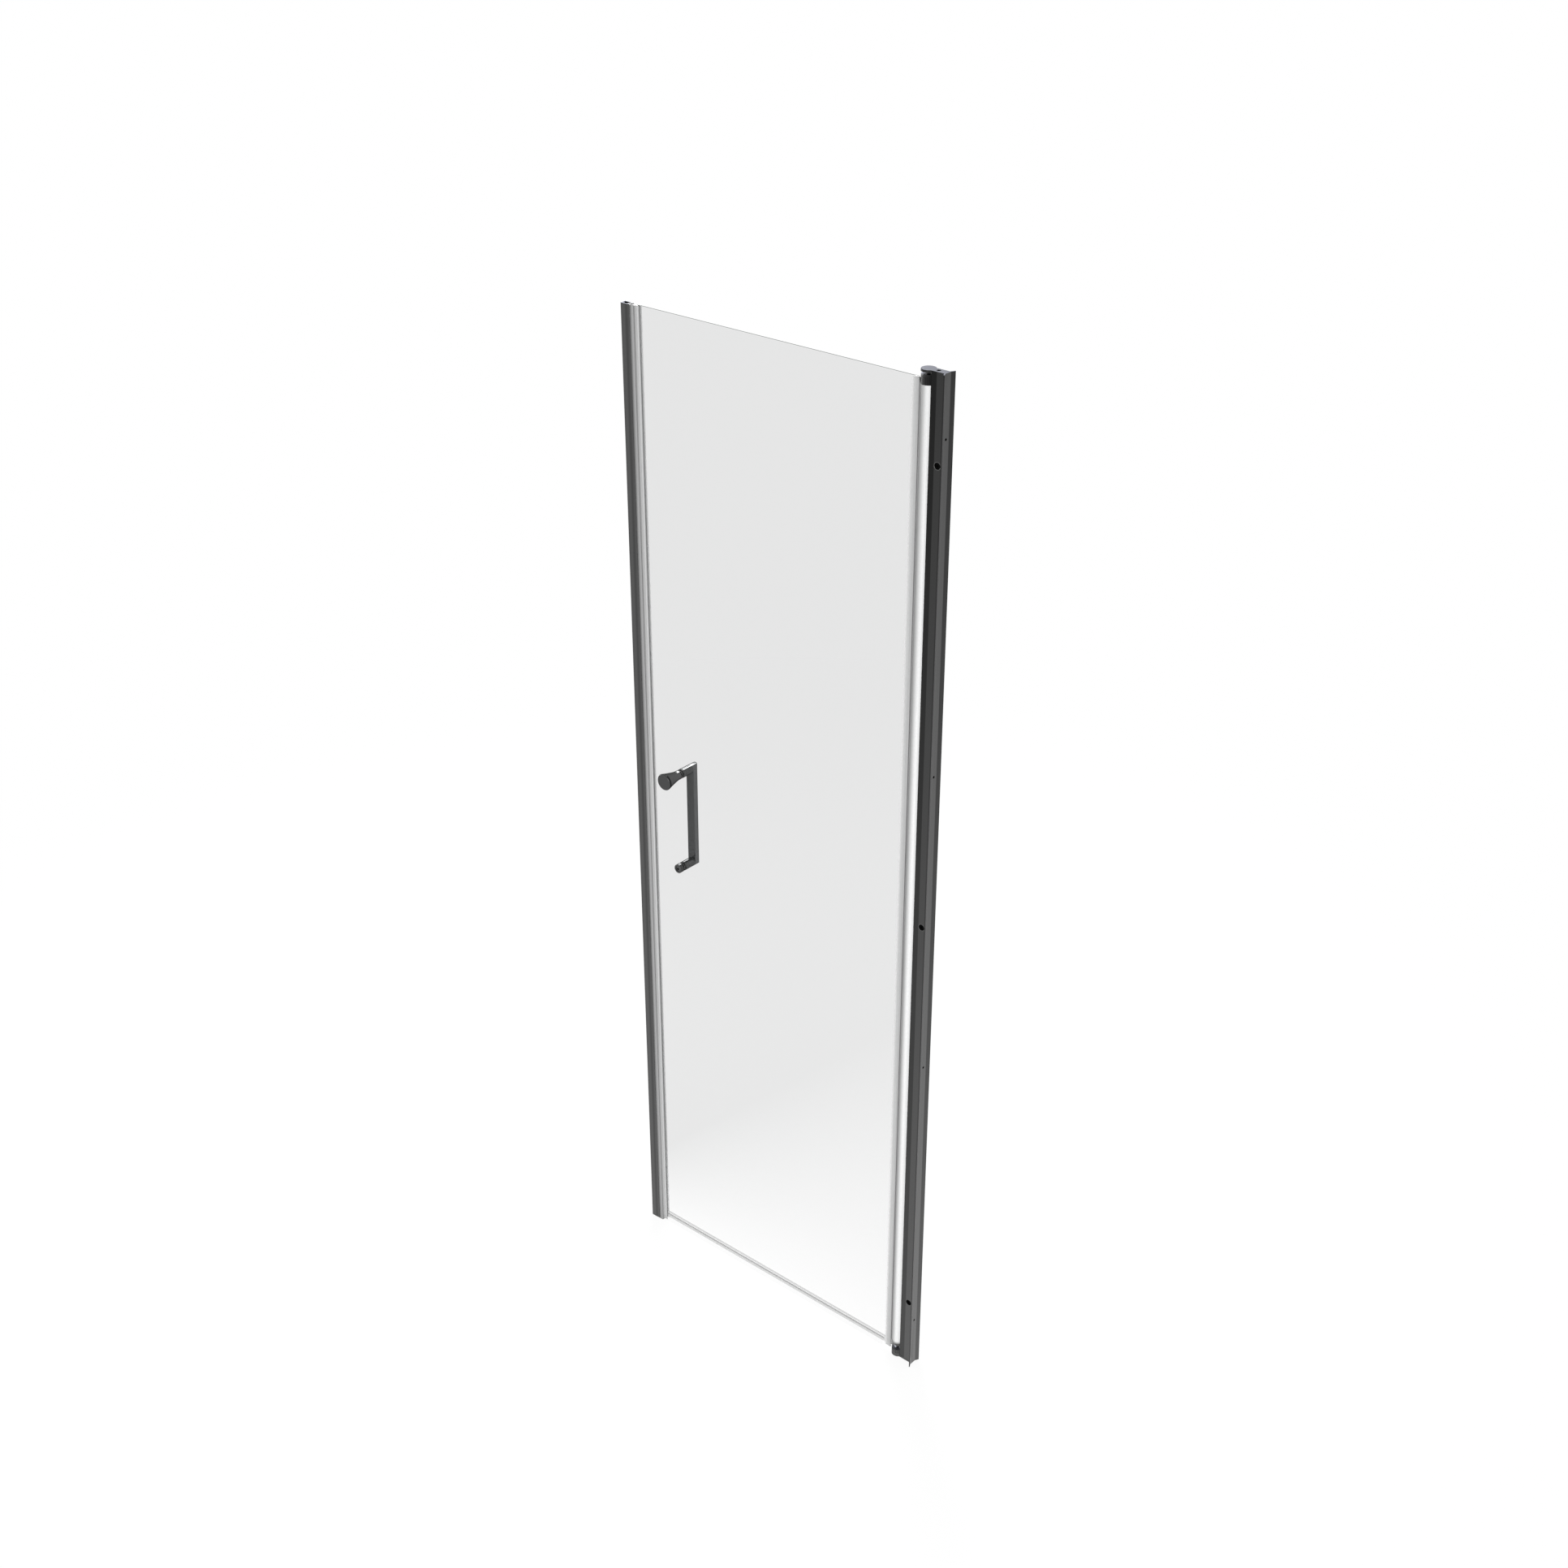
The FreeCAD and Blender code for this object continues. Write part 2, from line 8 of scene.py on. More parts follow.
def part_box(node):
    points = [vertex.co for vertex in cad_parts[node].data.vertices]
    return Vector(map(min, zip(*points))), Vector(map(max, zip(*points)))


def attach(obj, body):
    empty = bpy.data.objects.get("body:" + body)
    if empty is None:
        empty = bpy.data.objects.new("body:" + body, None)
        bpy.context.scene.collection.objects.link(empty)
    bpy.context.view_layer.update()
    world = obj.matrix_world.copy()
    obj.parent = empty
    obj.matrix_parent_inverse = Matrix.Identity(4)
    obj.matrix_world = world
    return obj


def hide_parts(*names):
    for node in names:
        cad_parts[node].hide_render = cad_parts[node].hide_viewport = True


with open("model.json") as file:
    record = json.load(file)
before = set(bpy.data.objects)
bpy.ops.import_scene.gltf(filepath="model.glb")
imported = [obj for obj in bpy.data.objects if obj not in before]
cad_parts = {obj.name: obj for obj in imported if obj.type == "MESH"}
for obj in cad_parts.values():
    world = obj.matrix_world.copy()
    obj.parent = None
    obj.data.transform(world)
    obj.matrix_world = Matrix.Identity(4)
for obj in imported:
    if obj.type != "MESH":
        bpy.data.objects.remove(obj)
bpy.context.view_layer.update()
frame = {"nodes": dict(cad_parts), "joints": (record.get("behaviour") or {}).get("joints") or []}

nodes = frame["nodes"]
pivot = Vector(frame["joints"][0]["pos_m"])
glassLow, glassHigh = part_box("glass_panel")
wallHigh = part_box("hinge_wall_profile")[1]
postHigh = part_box("hinge_post")[1]
strikeLow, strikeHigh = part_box("strike_wall_profile")
hingeLow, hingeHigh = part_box("hinge_seal")
closingLow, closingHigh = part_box("closing_seal")
stripLow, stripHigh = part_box("strike_seal")
footLow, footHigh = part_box("bottom_seal")
knobLow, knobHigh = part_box("inside_knob")
capLow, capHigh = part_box("inside_cap")
ringLow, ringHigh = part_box("index_ring")
knuckleLow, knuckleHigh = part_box("top_knuckle")
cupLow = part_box("bottom_pivot_bracket")[0]
clampLow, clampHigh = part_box("post_clamp_screws")
portLow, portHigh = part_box("bracket_screws")
knobMiddle, capMiddle = (knobLow + knobHigh) / 2, (capLow + capHigh) / 2
clampMiddle, portMiddle = (clampLow + clampHigh) / 2, (portLow + portHigh) / 2
ringRadius = (ringHigh.x - ringLow.x) / 2
doorHeight = wallHigh.z
mm = 0.001
print("frame loaded:", len(nodes), "nodes")


# a socket that adds its own Math nodes
class Value:
    def __init__(self, graph, socket):
        self.graph = graph
        self.socket = socket

    def math(self, operation, other, swapped=False):
        pair = {0: other, 1: self} if swapped else {0: self, 1: other}
        return self.graph.node("ShaderNodeMath", {"operation": operation}, pair)

    def __add__(self, other):
        return self.math("ADD", other)

    def __radd__(self, other):
        return self.math("ADD", other, True)

    def __sub__(self, other):
        return self.math("SUBTRACT", other)

    def __rsub__(self, other):
        return self.math("SUBTRACT", other, True)

    def __mul__(self, other):
        return self.math("MULTIPLY", other)

    def __rmul__(self, other):
        return self.math("MULTIPLY", other, True)

    def __truediv__(self, other):
        return self.math("DIVIDE", other)

    def __rtruediv__(self, other):
        return self.math("DIVIDE", other, True)

    def __pow__(self, other):
        return self.math("POWER", other)

    def most(self, other):
        return self.math("MAXIMUM", other)

    def least(self, other):
        return self.math("MINIMUM", other)

    # 0 below low, 1 above high, smooth between
    def step(self, low, high):
        limits = {"Value": self, "From Min": low, "From Max": high}
        return self.graph.node("ShaderNodeMapRange", {"interpolation_type": "SMOOTHSTEP"}, limits)

    # the same, between two distances past a place
    def rise(self, place, ends):
        return self.step(place + ends[0], place + ends[1])

    # the same, centred on a place
    def past(self, place, soft):
        return self.step(place - soft, place + soft)

    # 1 between low and high, soft at both ends
    def band(self, low, high, soft):
        return self.past(low, soft) * (1 - self.past(high, soft))

    # noise turned into a change either way
    def around(self, amount):
        return (self - 0.5) * amount


# the nodes of a material or of the surround
class Graph:
    def __init__(self, tree):
        self.tree = tree
        self.tree.nodes.clear()

    def node(self, kind, settings=None, inputs=None, output=0):
        made = self.tree.nodes.new(kind)
        for key, value in (settings or {}).items():
            if key == "stops":
                elements = made.color_ramp.elements
                while len(elements) < len(value):
                    elements.new(1.0)
                for element, (place, tone) in zip(elements, value):
                    element.position = place
                    element.color = (tone, tone, tone, 1.0)
            else:
                setattr(made, key, value)
        for key, value in (inputs or {}).items():
            if isinstance(value, Value):
                self.tree.links.new(value.socket, made.inputs[key])
            else:
                made.inputs[key].default_value = value
        return Value(self, made.outputs[output]) if made.outputs else None

    # 1 for rays from the camera, from a mirror or through glass
    def seen(self):
        path = self.node("ShaderNodeLightPath").socket.node
        rays = (Value(self, path.outputs[f"Is {kind} Ray"]) for kind in ("Camera", "Glossy", "Transmission"))
        return sum(rays).least(1.0)


class Finish(Graph):
    def __init__(self, name):
        self.material = bpy.data.materials.new(name)
        self.material.use_nodes = True
        super().__init__(self.material.node_tree)
        self.coords = self.node("ShaderNodeTexCoord", output="Object")
        split = self.node("ShaderNodeSeparateXYZ", inputs={0: self.coords}).socket.node
        self.x, self.y, self.z = (Value(self, socket) for socket in split.outputs)

    # noise on Object coordinates, with its own scale along each axis
    def grain(self, scale, detail=2.0):
        spread = self.node("ShaderNodeMapping", inputs={"Vector": self.coords, "Scale": scale})
        return self.node("ShaderNodeTexNoise", inputs={"Vector": spread, "Scale": 1.0, "Detail": detail})

    def mix(self, factor, first, second):
        return self.node("ShaderNodeMix", {"data_type": "RGBA"}, {0: factor, 6: first, 7: second}, 2)

    # a grey from its brightness, with a slight tint
    def grey(self, level, tint=(1.0, 1.0, 1.0)):
        parts = {index: level * part for index, part in enumerate(tint)}
        return self.node("ShaderNodeCombineColor", inputs=parts)

    # brightness from tones given at places along a line
    def tones(self, value, stops):
        low, high = stops[0][0], stops[-1][0]
        spots = [((place - low) / (high - low), tone) for place, tone in stops]
        colours = self.node("ShaderNodeValToRGB", {"stops": spots}, {0: (value - low) / (high - low)})
        return self.node("ShaderNodeSeparateColor", inputs={0: colours})

    def bump(self, height, distance):
        return self.node("ShaderNodeBump", inputs={"Height": height, "Distance": distance})

    def output(self, shader):
        self.node("ShaderNodeOutputMaterial", inputs={"Surface": shader})
        return self.material

    def surface(self, sockets):
        return self.output(self.node("ShaderNodeBsdfPrincipled", inputs=sockets))


def colour(*parts):
    return (*parts, 1.0)


def between(first, second, share):
    return first * (1 - share) + second * share


# distance from an axis, from the offsets along two directions
def radial(first, second):
    return (first * first + second * second) ** 0.5


# distance in mm from the pivot's axis towards the post
def acrossPivot(finish):
    return (finish.x - pivot.x) / mm


# share of the way from the top of the door down to its foot
def wayDown(finish):
    return (1 - finish.z / doorHeight).most(0.0)


# extruded and anodised profiles: die lines run along the length; the top cut end is bare metal, painted pale and bluish
# as lit from above
extrusion = {
    "lineScale": (900, 900, 0.6),
    "lineTone": 0.05,
    "strikeLineTone": 0.20,
    "lineDepth": 0.000003,
    "dustScale": (260, 260, 260),
    "dustTone": 0.10,
    "roughness": 0.30,
    "roughSpread": 0.10,
    "cutLitTone": 0.36,
    "cutLitTint": (0.94, 0.97, 1.12),
    "cutRoughness": 0.2,
    "cutEnds": (-0.05 * mm, -0.03 * mm),
    "edgeTint": colour(0.55, 0.55, 0.55),
}


def extruded(name, top, toneAt, lineTone=extrusion["lineTone"]):
    finish = Finish(name)
    lines = finish.grain(extrusion["lineScale"])
    dust = finish.grain(extrusion["dustScale"])
    speckle = 1 + lines.around(lineTone) + dust.around(extrusion["dustTone"])
    plain = finish.grey(toneAt(finish) * speckle)
    cut = finish.z.rise(top, extrusion["cutEnds"])
    # painted light: the top cut end takes a pale, bluish tone as if lit from above
    bareLitEnd = finish.grey(extrusion["cutLitTone"] * speckle, extrusion["cutLitTint"])
    rough = extrusion["roughness"] + dust.around(extrusion["roughSpread"])
    return finish.surface({
        "Base Color": finish.mix(cut, plain, bareLitEnd),
        "Metallic": 1.0,
        "Roughness": rough + cut * extrusion["cutRoughness"],
        "Specular Tint": extrusion["edgeTint"],
        "Normal": finish.bump(lines, extrusion["lineDepth"]),
    })


# painted shade: each face of the profiles takes its own tone by how light falls on it, lighter towards the foot of the
# door; pairs are tones at the top and at the foot of the door, lists are factors across a face, in mm
paintedProfileShade = {
    "fall": 1.3,
    "nose": (0.0185, 0.083),
    "noseEnd": 21 * mm,
    "noseSoft": 0.4 * mm,
    "face": (0.0435, 0.131),
    "faceEdge": (-0.35 * mm, -0.2 * mm),
    "faceEdgeShade": 0.6,
    "web": (0.193, 0.416),
    "webAcross": [(-7.2, 0.9), (-3.4, 0.57), (7.2, 0.53)],
    "webEdge": 7.2 * mm,
    "webSoft": 0.3 * mm,
    "rearFlange": (0.0430, 0.132),
    "tip": (0.030, 0.085),
    "tipEdge": (-1.6 * mm, -1.2 * mm),
    "strikeFront": (0.090, 0.128),
    "strikeAcross": [(0, 0.97), (8, 1.04), (12.5, 0.69), (18, 1.04)],
}
# the clamp hole's tone is a painted highlight ring around each hole
clampHole = {"head": 5.75 * mm, "low": 5.7 * mm, "high": 6.6 * mm, "soft": 0.2 * mm, "tone": 0.14}
clampHeights = (clampLow.z + clampHole["head"], clampMiddle.z, clampHigh.z - clampHole["head"])


# painted shade and light: a tone that runs from darker at the top of the door to lighter at its foot
def along(finish, key):
    top, foot = paintedProfileShade[key]
    return top + wayDown(finish) ** paintedProfileShade["fall"] * (foot - top)


# painted shade: the post's nose is darker than its face
def profileTone(finish):
    onFace = finish.x.past(pivot.x + paintedProfileShade["noseEnd"], paintedProfileShade["noseSoft"])
    return between(along(finish, "nose"), along(finish, "face"), onFace)


# painted highlight: a light ring around each clamp hole stands in for the light its countersink catches, and painted
# shade darkens the post's back edge
def postTone(finish):
    rim = 0.0
    for height in clampHeights:
        reach = radial(finish.x - clampMiddle.x, finish.z - height)
        rim = rim + reach.band(clampHole["low"], clampHole["high"], clampHole["soft"])
    edge = finish.x.rise(postHigh.x, paintedProfileShade["faceEdge"])
    return between(profileTone(finish) * (1 - edge * paintedProfileShade["faceEdgeShade"]), clampHole["tone"], rim)


# painted shade: the wall profile's web, rear flange and flange tip each take their own tone by how light falls on them
def wallTone(finish):
    rear = finish.y.past(paintedProfileShade["webEdge"], paintedProfileShade["webSoft"])
    outward = finish.y.most(finish.y * -1)
    tip = outward.rise(wallHigh.y, paintedProfileShade["tipEdge"])
    web = along(finish, "web") * finish.tones(finish.y / mm, paintedProfileShade["webAcross"])
    return between(between(web, along(finish, "rearFlange"), rear), along(finish, "tip"), tip)


# painted shade: bands across the strike rail's front by how light falls on its facets
def strikeTone(finish):
    across = finish.tones((finish.x - strikeLow.x) / mm, paintedProfileShade["strikeAcross"])
    return along(finish, "strikeFront") * across


# cap: a short turned ring with a round rim, around the bolt's head
cap = {"recess": 5.2 * mm, "recessEdge": 0.4 * mm, "depth": 5.0 * mm, "bore": 3.05 * mm, "rim": 1.4 * mm}

# polished chrome plate of the handle, knob and cap
chrome = {
    "faceTone": 0.079,
    "backTone": 0.122,
    # the ring tone is the knob rim's painted reflection, a dark band
    "ringTone": 0.03,
    "postTone": 0.075,
    "flareTone": 0.12,
    "recessShadeTones": [(0.0, 0.06), (5.2, 0.075), (5.7, 0.09)],
    "tint": (0.985, 1.0, 1.01),
    "smearScale": (45, 45, 45),
    "smearTone": 0.06,
    "fineScale": (900, 900, 900),
    "fineDepth": 0.000001,
    "roughness": 0.09,
    "roughSpread": 0.04,
    "edgeTint": colour(0.4, 0.4, 0.4),
    "halfSoft": 1 * mm,
    "knobFace": (0.1 * mm, 0.5 * mm),
    "knobBack": (-0.1 * mm, 0.0),
    "ring": (0.6 * mm, 5.0 * mm),
    "ringSoft": 0.6 * mm,
    "capFace": (0.2 * mm, 0.5 * mm),
    "recessRim": (-0.1 * mm, 0.3 * mm),
    "barFront": (26.6 * mm, 26.9 * mm),
    "barBack": (27.6 * mm, 28.4 * mm),
}


# painted reflection: the flare, the posts, the flat faces and the bar's back each keep one even tone, and the knob's
# rim carries a darker band; the cap's face and recess take tones that darken into the recess as painted shade
def chromePlate():
    finish = Finish("chromePlate")
    smear = finish.grain(chrome["smearScale"], detail=4.0)
    fine = finish.grain(chrome["fineScale"])
    upper = finish.z.past(doorHeight / 2, chrome["halfSoft"])
    outZ = finish.z - capMiddle.z - upper * (knobMiddle.z - capMiddle.z)
    reach = radial(finish.x - knobMiddle.x, outZ)
    inside = 1 - finish.y.rise(knobHigh.y, chrome["knobBack"])
    onCap = inside * (1 - upper)
    capFace = onCap * (1 - finish.y.rise(capLow.y, chrome["capFace"]))
    inRecess = onCap * (1 - reach.rise(cap["recess"], chrome["recessRim"]))
    # painted shade: tones that darken into the cap's recess
    recessShade = finish.tones(reach / mm, chrome["recessShadeTones"])
    onRounds = (1 - finish.y.step(*chrome["barFront"])) * finish.y.rise(knobLow.y, chrome["knobFace"])
    ringStart, ringEnd = chrome["ring"]
    # painted reflection: a dark band around the knob's rim
    ring = finish.y.band(knobLow.y + ringStart, knobLow.y + ringEnd, chrome["ringSoft"])
    # painted reflection: even tones set apart for the flat faces, the bar's back, the posts and the flare
    flats = between(chrome["faceTone"], chrome["backTone"], finish.y.step(*chrome["barBack"]))
    rounds = between(chrome["postTone"], chrome["flareTone"], inside * upper)
    tone = between(between(flats, rounds, onRounds), chrome["ringTone"], ring)
    tone = between(tone, recessShade, capFace.most(inRecess))
    return finish.surface({
        "Base Color": finish.grey(tone * (1 + smear.around(chrome["smearTone"])), chrome["tint"]),
        "Metallic": 1.0,
        "Roughness": chrome["roughness"] + smear.around(chrome["roughSpread"]),
        "Specular Tint": chrome["edgeTint"],
        "Normal": finish.bump(fine, chrome["fineDepth"]),
    })


# cast and plated pivot parts: tops painted pale and bluish as lit from above, darker flanks, tones given across the
# pivot in mm that darken towards the post as painted shade
pivotParts = {
    # the tint is the bluish cast of the tops' painted light
    "tint": (0.94, 0.965, 1.10),
    "roughness": 0.34,
    "roughSpread": 0.2,
    "pitScale": (700, 700, 700),
    "pitTone": 0.16,
    "pitDepth": 0.00002,
    "cloudScale": (90, 90, 90),
    "cloudTone": 0.12,
    "port": 3.62 * mm,
    "portEdge": (-0.05 * mm, 0.0),
    "portShade": 0.9,
    "topEdge": (-0.10 * mm, -0.05 * mm),
    "bracketLitTop": 0.345,
    "knuckleLitTop": [(-8.6, 0.62), (-6.0, 0.55), (-1.5, 0.06), (11.4, 0.05)],
    "ringLitTop": [(-8.8, 0.5), (-3.8, 0.36), (11.6, 0.36)],
    "upperRibs": [(-8.6, 0.09), (-2.2, 0.076), (4.4, 0.02), (11.4, 0.024)],
    "lowerRibs": [(-8.8, 0.27), (-0.8, 0.21), (3.9, 0.13), (11.6, 0.12)],
    "upperGrooveShade": 0.72,
    "lowerGrooveShade": 0.36,
    "ribEdge": (-0.6 * mm, -0.2 * mm),
    "discTone": 0.034,
    "discEnd": (10 * mm, 12 * mm),
    "cupTone": 0.115,
    "cupShade": 0.05,
    "cupFoot": (0.0, 4 * mm),
    "aboveFoot": (0.2, 0.6),
}


# painted light on the tops: an even tone, or tones across the pivot that darken towards the post as painted shade
def litTopTone(finish, key):
    tones = pivotParts[key]
    return finish.tones(acrossPivot(finish), tones) if isinstance(tones, list) else tones


def castMetal(name, flankTone, top, litTopKey):
    finish = Finish(name)
    pits = finish.grain(pivotParts["pitScale"], detail=4.0)
    cloud = finish.grain(pivotParts["cloudScale"])
    speckle = 1 + pits.around(pivotParts["pitTone"]) + cloud.around(pivotParts["cloudTone"])
    reach = radial(finish.x - portMiddle.x, finish.y - portMiddle.y)
    # painted shade inside the screw port
    inPort = 1 - reach.rise(pivotParts["port"], pivotParts["portEdge"])
    onTop = finish.z.rise(top, pivotParts["topEdge"])
    flank = finish.grey(flankTone(finish) * speckle * (1 - inPort * pivotParts["portShade"]))
    # painted light: the tops take a pale, bluish tone as if lit from above
    litTop = finish.grey(litTopTone(finish, litTopKey) * speckle, pivotParts["tint"])
    return finish.surface({
        "Base Color": finish.mix(onTop, flank, litTop),
        "Metallic": 1.0,
        "Roughness": pivotParts["roughness"] + pits.around(pivotParts["roughSpread"]),
        "Specular Tint": extrusion["edgeTint"],
        "Normal": finish.bump(pits, pivotParts["pitDepth"]),
    })


# painted shade: the disc's flank is dark, the arm takes the post's painted tones, and the cup darkens towards its foot
def bracketTone(finish):
    onArm = finish.x.rise(pivot.x, pivotParts["discEnd"])
    upperTone = between(pivotParts["discTone"], profileTone(finish), onArm)
    shade = (1 - finish.z.rise(cupLow.z, pivotParts["cupFoot"])) * pivotParts["cupShade"]
    return between(pivotParts["cupTone"] - shade, upperTone, finish.z.step(*pivotParts["aboveFoot"]))


# painted shade: the grooves between the ribs are darker than the ribs, and the ribs darken towards the post
def ribbedTone(finish):
    reach = radial(finish.x - pivot.x, finish.y - pivot.y)
    onRib = reach.rise(ringRadius, pivotParts["ribEdge"])
    across = acrossPivot(finish)
    upperTone = finish.tones(across, pivotParts["upperRibs"]) * between(pivotParts["upperGrooveShade"], 1.0, onRib)
    lowerTone = finish.tones(across, pivotParts["lowerRibs"]) * between(pivotParts["lowerGrooveShade"], 1.0, onRib)
    return between(lowerTone, upperTone, finish.z.step(*pivotParts["aboveFoot"]))


# turned steel of pins, screws and studs
steel = {
    "tone": 0.11,
    "pinTone": 0.05,
    # a near-black tone that paints the shade of the screws' holes
    "screwShadeTone": 0.004,
    "ringScale": (300, 300, 2600),
    "ringTone": 0.3,
    "ringDepth": 0.00001,
    "stainScale": (120, 120, 120),
    "stainTone": 0.2,
    "roughness": 0.28,
    "roughSpread": 0.2,
}


def turnedSteel(name, tone):
    finish = Finish(name)
    rings = finish.grain(steel["ringScale"])
    stain = finish.grain(steel["stainScale"], detail=3.0)
    return finish.surface({
        "Base Color": finish.grey(tone * (1 + rings.around(steel["ringTone"]) + stain.around(steel["stainTone"]))),
        "Metallic": 1.0,
        "Roughness": steel["roughness"] + rings.around(steel["roughSpread"]),
        "Specular Tint": extrusion["edgeTint"],
        "Normal": finish.bump(rings, steel["ringDepth"]),
    })


# clear toughened glass: ground edges read dark, the sheet takes a faint grey, and painted light clears it towards its
# foot
glass = {
    "sheetColour": colour(0.10, 0.105, 0.105),
    "edgeColour": colour(0.25, 0.265, 0.26),
    "sheetAlpha": 0.127,
    "footLightAlpha": 0.006,
    "footLightHeight": 0.48,
    "footLightSlant": 0.95,
    "footLightLeast": 0.1,
    "sideAlpha": 0.40,
    "topAlpha": 0.12,
    "lineAlpha": 0.80,
    "line": (-0.3 * mm, 0.5 * mm),
    "edge": (0.49 * mm, 0.7 * mm),
    "brokenEdge": 0.5 * mm,
    "wipeScale": (3, 3, 0.8),
    "wipeTone": 0.05,
    "spotScale": (140, 140, 90),
    "spotLevels": (0.62, 0.75),
    "spotRoughness": 0.05,
    "roughness": 0.03,
    "ior": 1.52,
    "gloss": 0.0,
}


def clearGlass():
    finish = Finish("clearGlass")
    x, z = finish.x, finish.z
    wipe = finish.grain(glass["wipeScale"], detail=3.0)
    spots = finish.grain(glass["spotScale"])
    toSide = (x - glassLow.x).least(glassHigh.x - x)
    onSide = 1 - toSide.step(*glass["edge"])
    onTop = 1 - (glassHigh.z - z).step(*glass["edge"])
    line = finish.y.step(*glass["line"])
    onEdge = onSide.most(onTop)
    edgeAlpha = (onTop * (glass["topAlpha"] + line * glass["lineAlpha"])).most(onSide * glass["sideAlpha"])
    # painted light: the grey fades out towards the foot of the sheet, along a slanted line
    clear = (x * glass["footLightSlant"] + glass["footLightHeight"]).most(glass["footLightLeast"])
    footLightFade = (z / clear).least(1.0)
    sheet = between(glass["footLightAlpha"], glass["sheetAlpha"], footLightFade) * (1 + wipe.around(glass["wipeTone"]))
    return finish.surface({
        "Base Color": finish.mix(onEdge, glass["sheetColour"], glass["edgeColour"]),
        "Roughness": glass["roughness"] + spots.step(*glass["spotLevels"]) * glass["spotRoughness"],
        "IOR": glass["ior"],
        "Specular IOR Level": glass["gloss"],
        "Alpha": sheet * (1 - onEdge) + edgeAlpha,
    })


# clear soft sealing strips: milky walls with fine draw lines; their tones are painted shade and painted light, darker
# where walls are seen edge on and lighter on open sides
sealing = {
    "tint": (0.995, 1.0, 1.0),
    "lineScale": (520, 1.2),
    "lineTone": 0.30,
    "lineDepth": 0.000004,
    "dustScale": (420, 420, 420),
    "dustTone": 0.16,
    "roughness": 0.30,
    "roughSpread": 0.15,
    "gloss": 0.15,
}


def clearStrip(name, toneAt, alphaAt, run="z"):
    finish = Finish(name)
    fine, drawn = sealing["lineScale"]
    lines = finish.grain((fine, fine, drawn) if run == "z" else (drawn, fine, fine))
    dust = finish.grain(sealing["dustScale"])
    shade = 1 + lines.around(sealing["lineTone"]) + dust.around(sealing["dustTone"])
    return finish.surface({
        "Base Color": finish.grey(toneAt(finish) * shade, sealing["tint"]),
        "Roughness": sealing["roughness"] + lines.around(sealing["roughSpread"]),
        "Specular IOR Level": sealing["gloss"],
        "Alpha": alphaAt(finish),
        "Normal": finish.bump(lines, sealing["lineDepth"]),
    })


# rubber, nylon and magnet strip
matt = {"poreTone": 0.4, "poreDepth": 0.00002, "roughness": 0.55, "roughSpread": 0.2}


def softMatt(name, tone, scale, gloss=0.5):
    finish = Finish(name)
    pores = finish.grain((scale, scale, scale), detail=3.0)
    return finish.surface({
        "Base Color": finish.grey(tone * (1 + pores.around(matt["poreTone"]))),
        "Specular IOR Level": gloss,
        "Roughness": matt["roughness"] + pores.around(matt["roughSpread"]),
        "Normal": finish.bump(pores, matt["poreDepth"]),
    })


def dress(material, *names):
    for name in names:
        mesh = nodes[name].data
        mesh.materials.clear()
        mesh.materials.append(material)


# limits that all the mesh work shares, angles in degrees
shaping = {
    "smooth": 20, "flat": 0.5, "sharp": 35, "rim": 60, "rimShare": 0.3,
    "weld": 0.001 * mm, "touch": 0.01 * mm, "turnSteps": 72, "headSides": 48,
}


# a finished mesh becomes a piece on its body
def newPiece(name, bm, material, body, slot, *replaced):
    for face in bm.faces:
        face.smooth = True
    mesh = bpy.data.meshes.new(name)
    bm.to_mesh(mesh)
    bm.free()
    mesh.set_sharp_from_angle(angle=math.radians(shaping["smooth"]))
    mesh.materials.append(material)
    piece = bpy.data.objects.new(name, mesh)
    bpy.context.scene.collection.objects.link(piece)
    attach(piece, body)
    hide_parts(*replaced)


def addTo(bm, part):
    mesh = bpy.data.meshes.new("part")
    part.to_mesh(mesh)
    part.free()
    bm.from_mesh(mesh)
    bpy.data.meshes.remove(mesh)


def bevelEdges(bm, edges, width, segments=2):
    bmesh.ops.bevel(
        bm, geom=edges, offset=width, offset_type="OFFSET", affect="EDGES",
        segments=segments, profile=0.5, material=-1, clamp_overlap=True,
    )


def sharpEdges(bm, key):
    return [edge for edge in bm.edges if edge.calc_face_angle() > math.radians(shaping[key])]


# a welded copy of a node's mesh with its sharp edges broken, after a wider rounding of the edges picked
def broken(node, width, segments=2, wide=0.0, picked=None):
    bm = bmesh.new()
    bm.from_mesh(nodes[node].data)
    bmesh.ops.remove_doubles(bm, verts=bm.verts, dist=shaping["weld"])
    flat = math.radians(shaping["flat"])
    bmesh.ops.dissolve_limit(bm, angle_limit=flat, verts=bm.verts, edges=bm.edges)
    if picked:
        chosen = [edge for edge in sharpEdges(bm, "sharp") if all(picked(vert.co) for vert in edge.verts)]
        bevelEdges(bm, chosen, wide, 4)
    bevelEdges(bm, sharpEdges(bm, "sharp"), width, segments)
    return bm


# a piece with its solid's shape and broken edges
def keepShape(name, node, width, material, body, slot, **more):
    newPiece(name, broken(node, width, **more), material, body, slot, node)


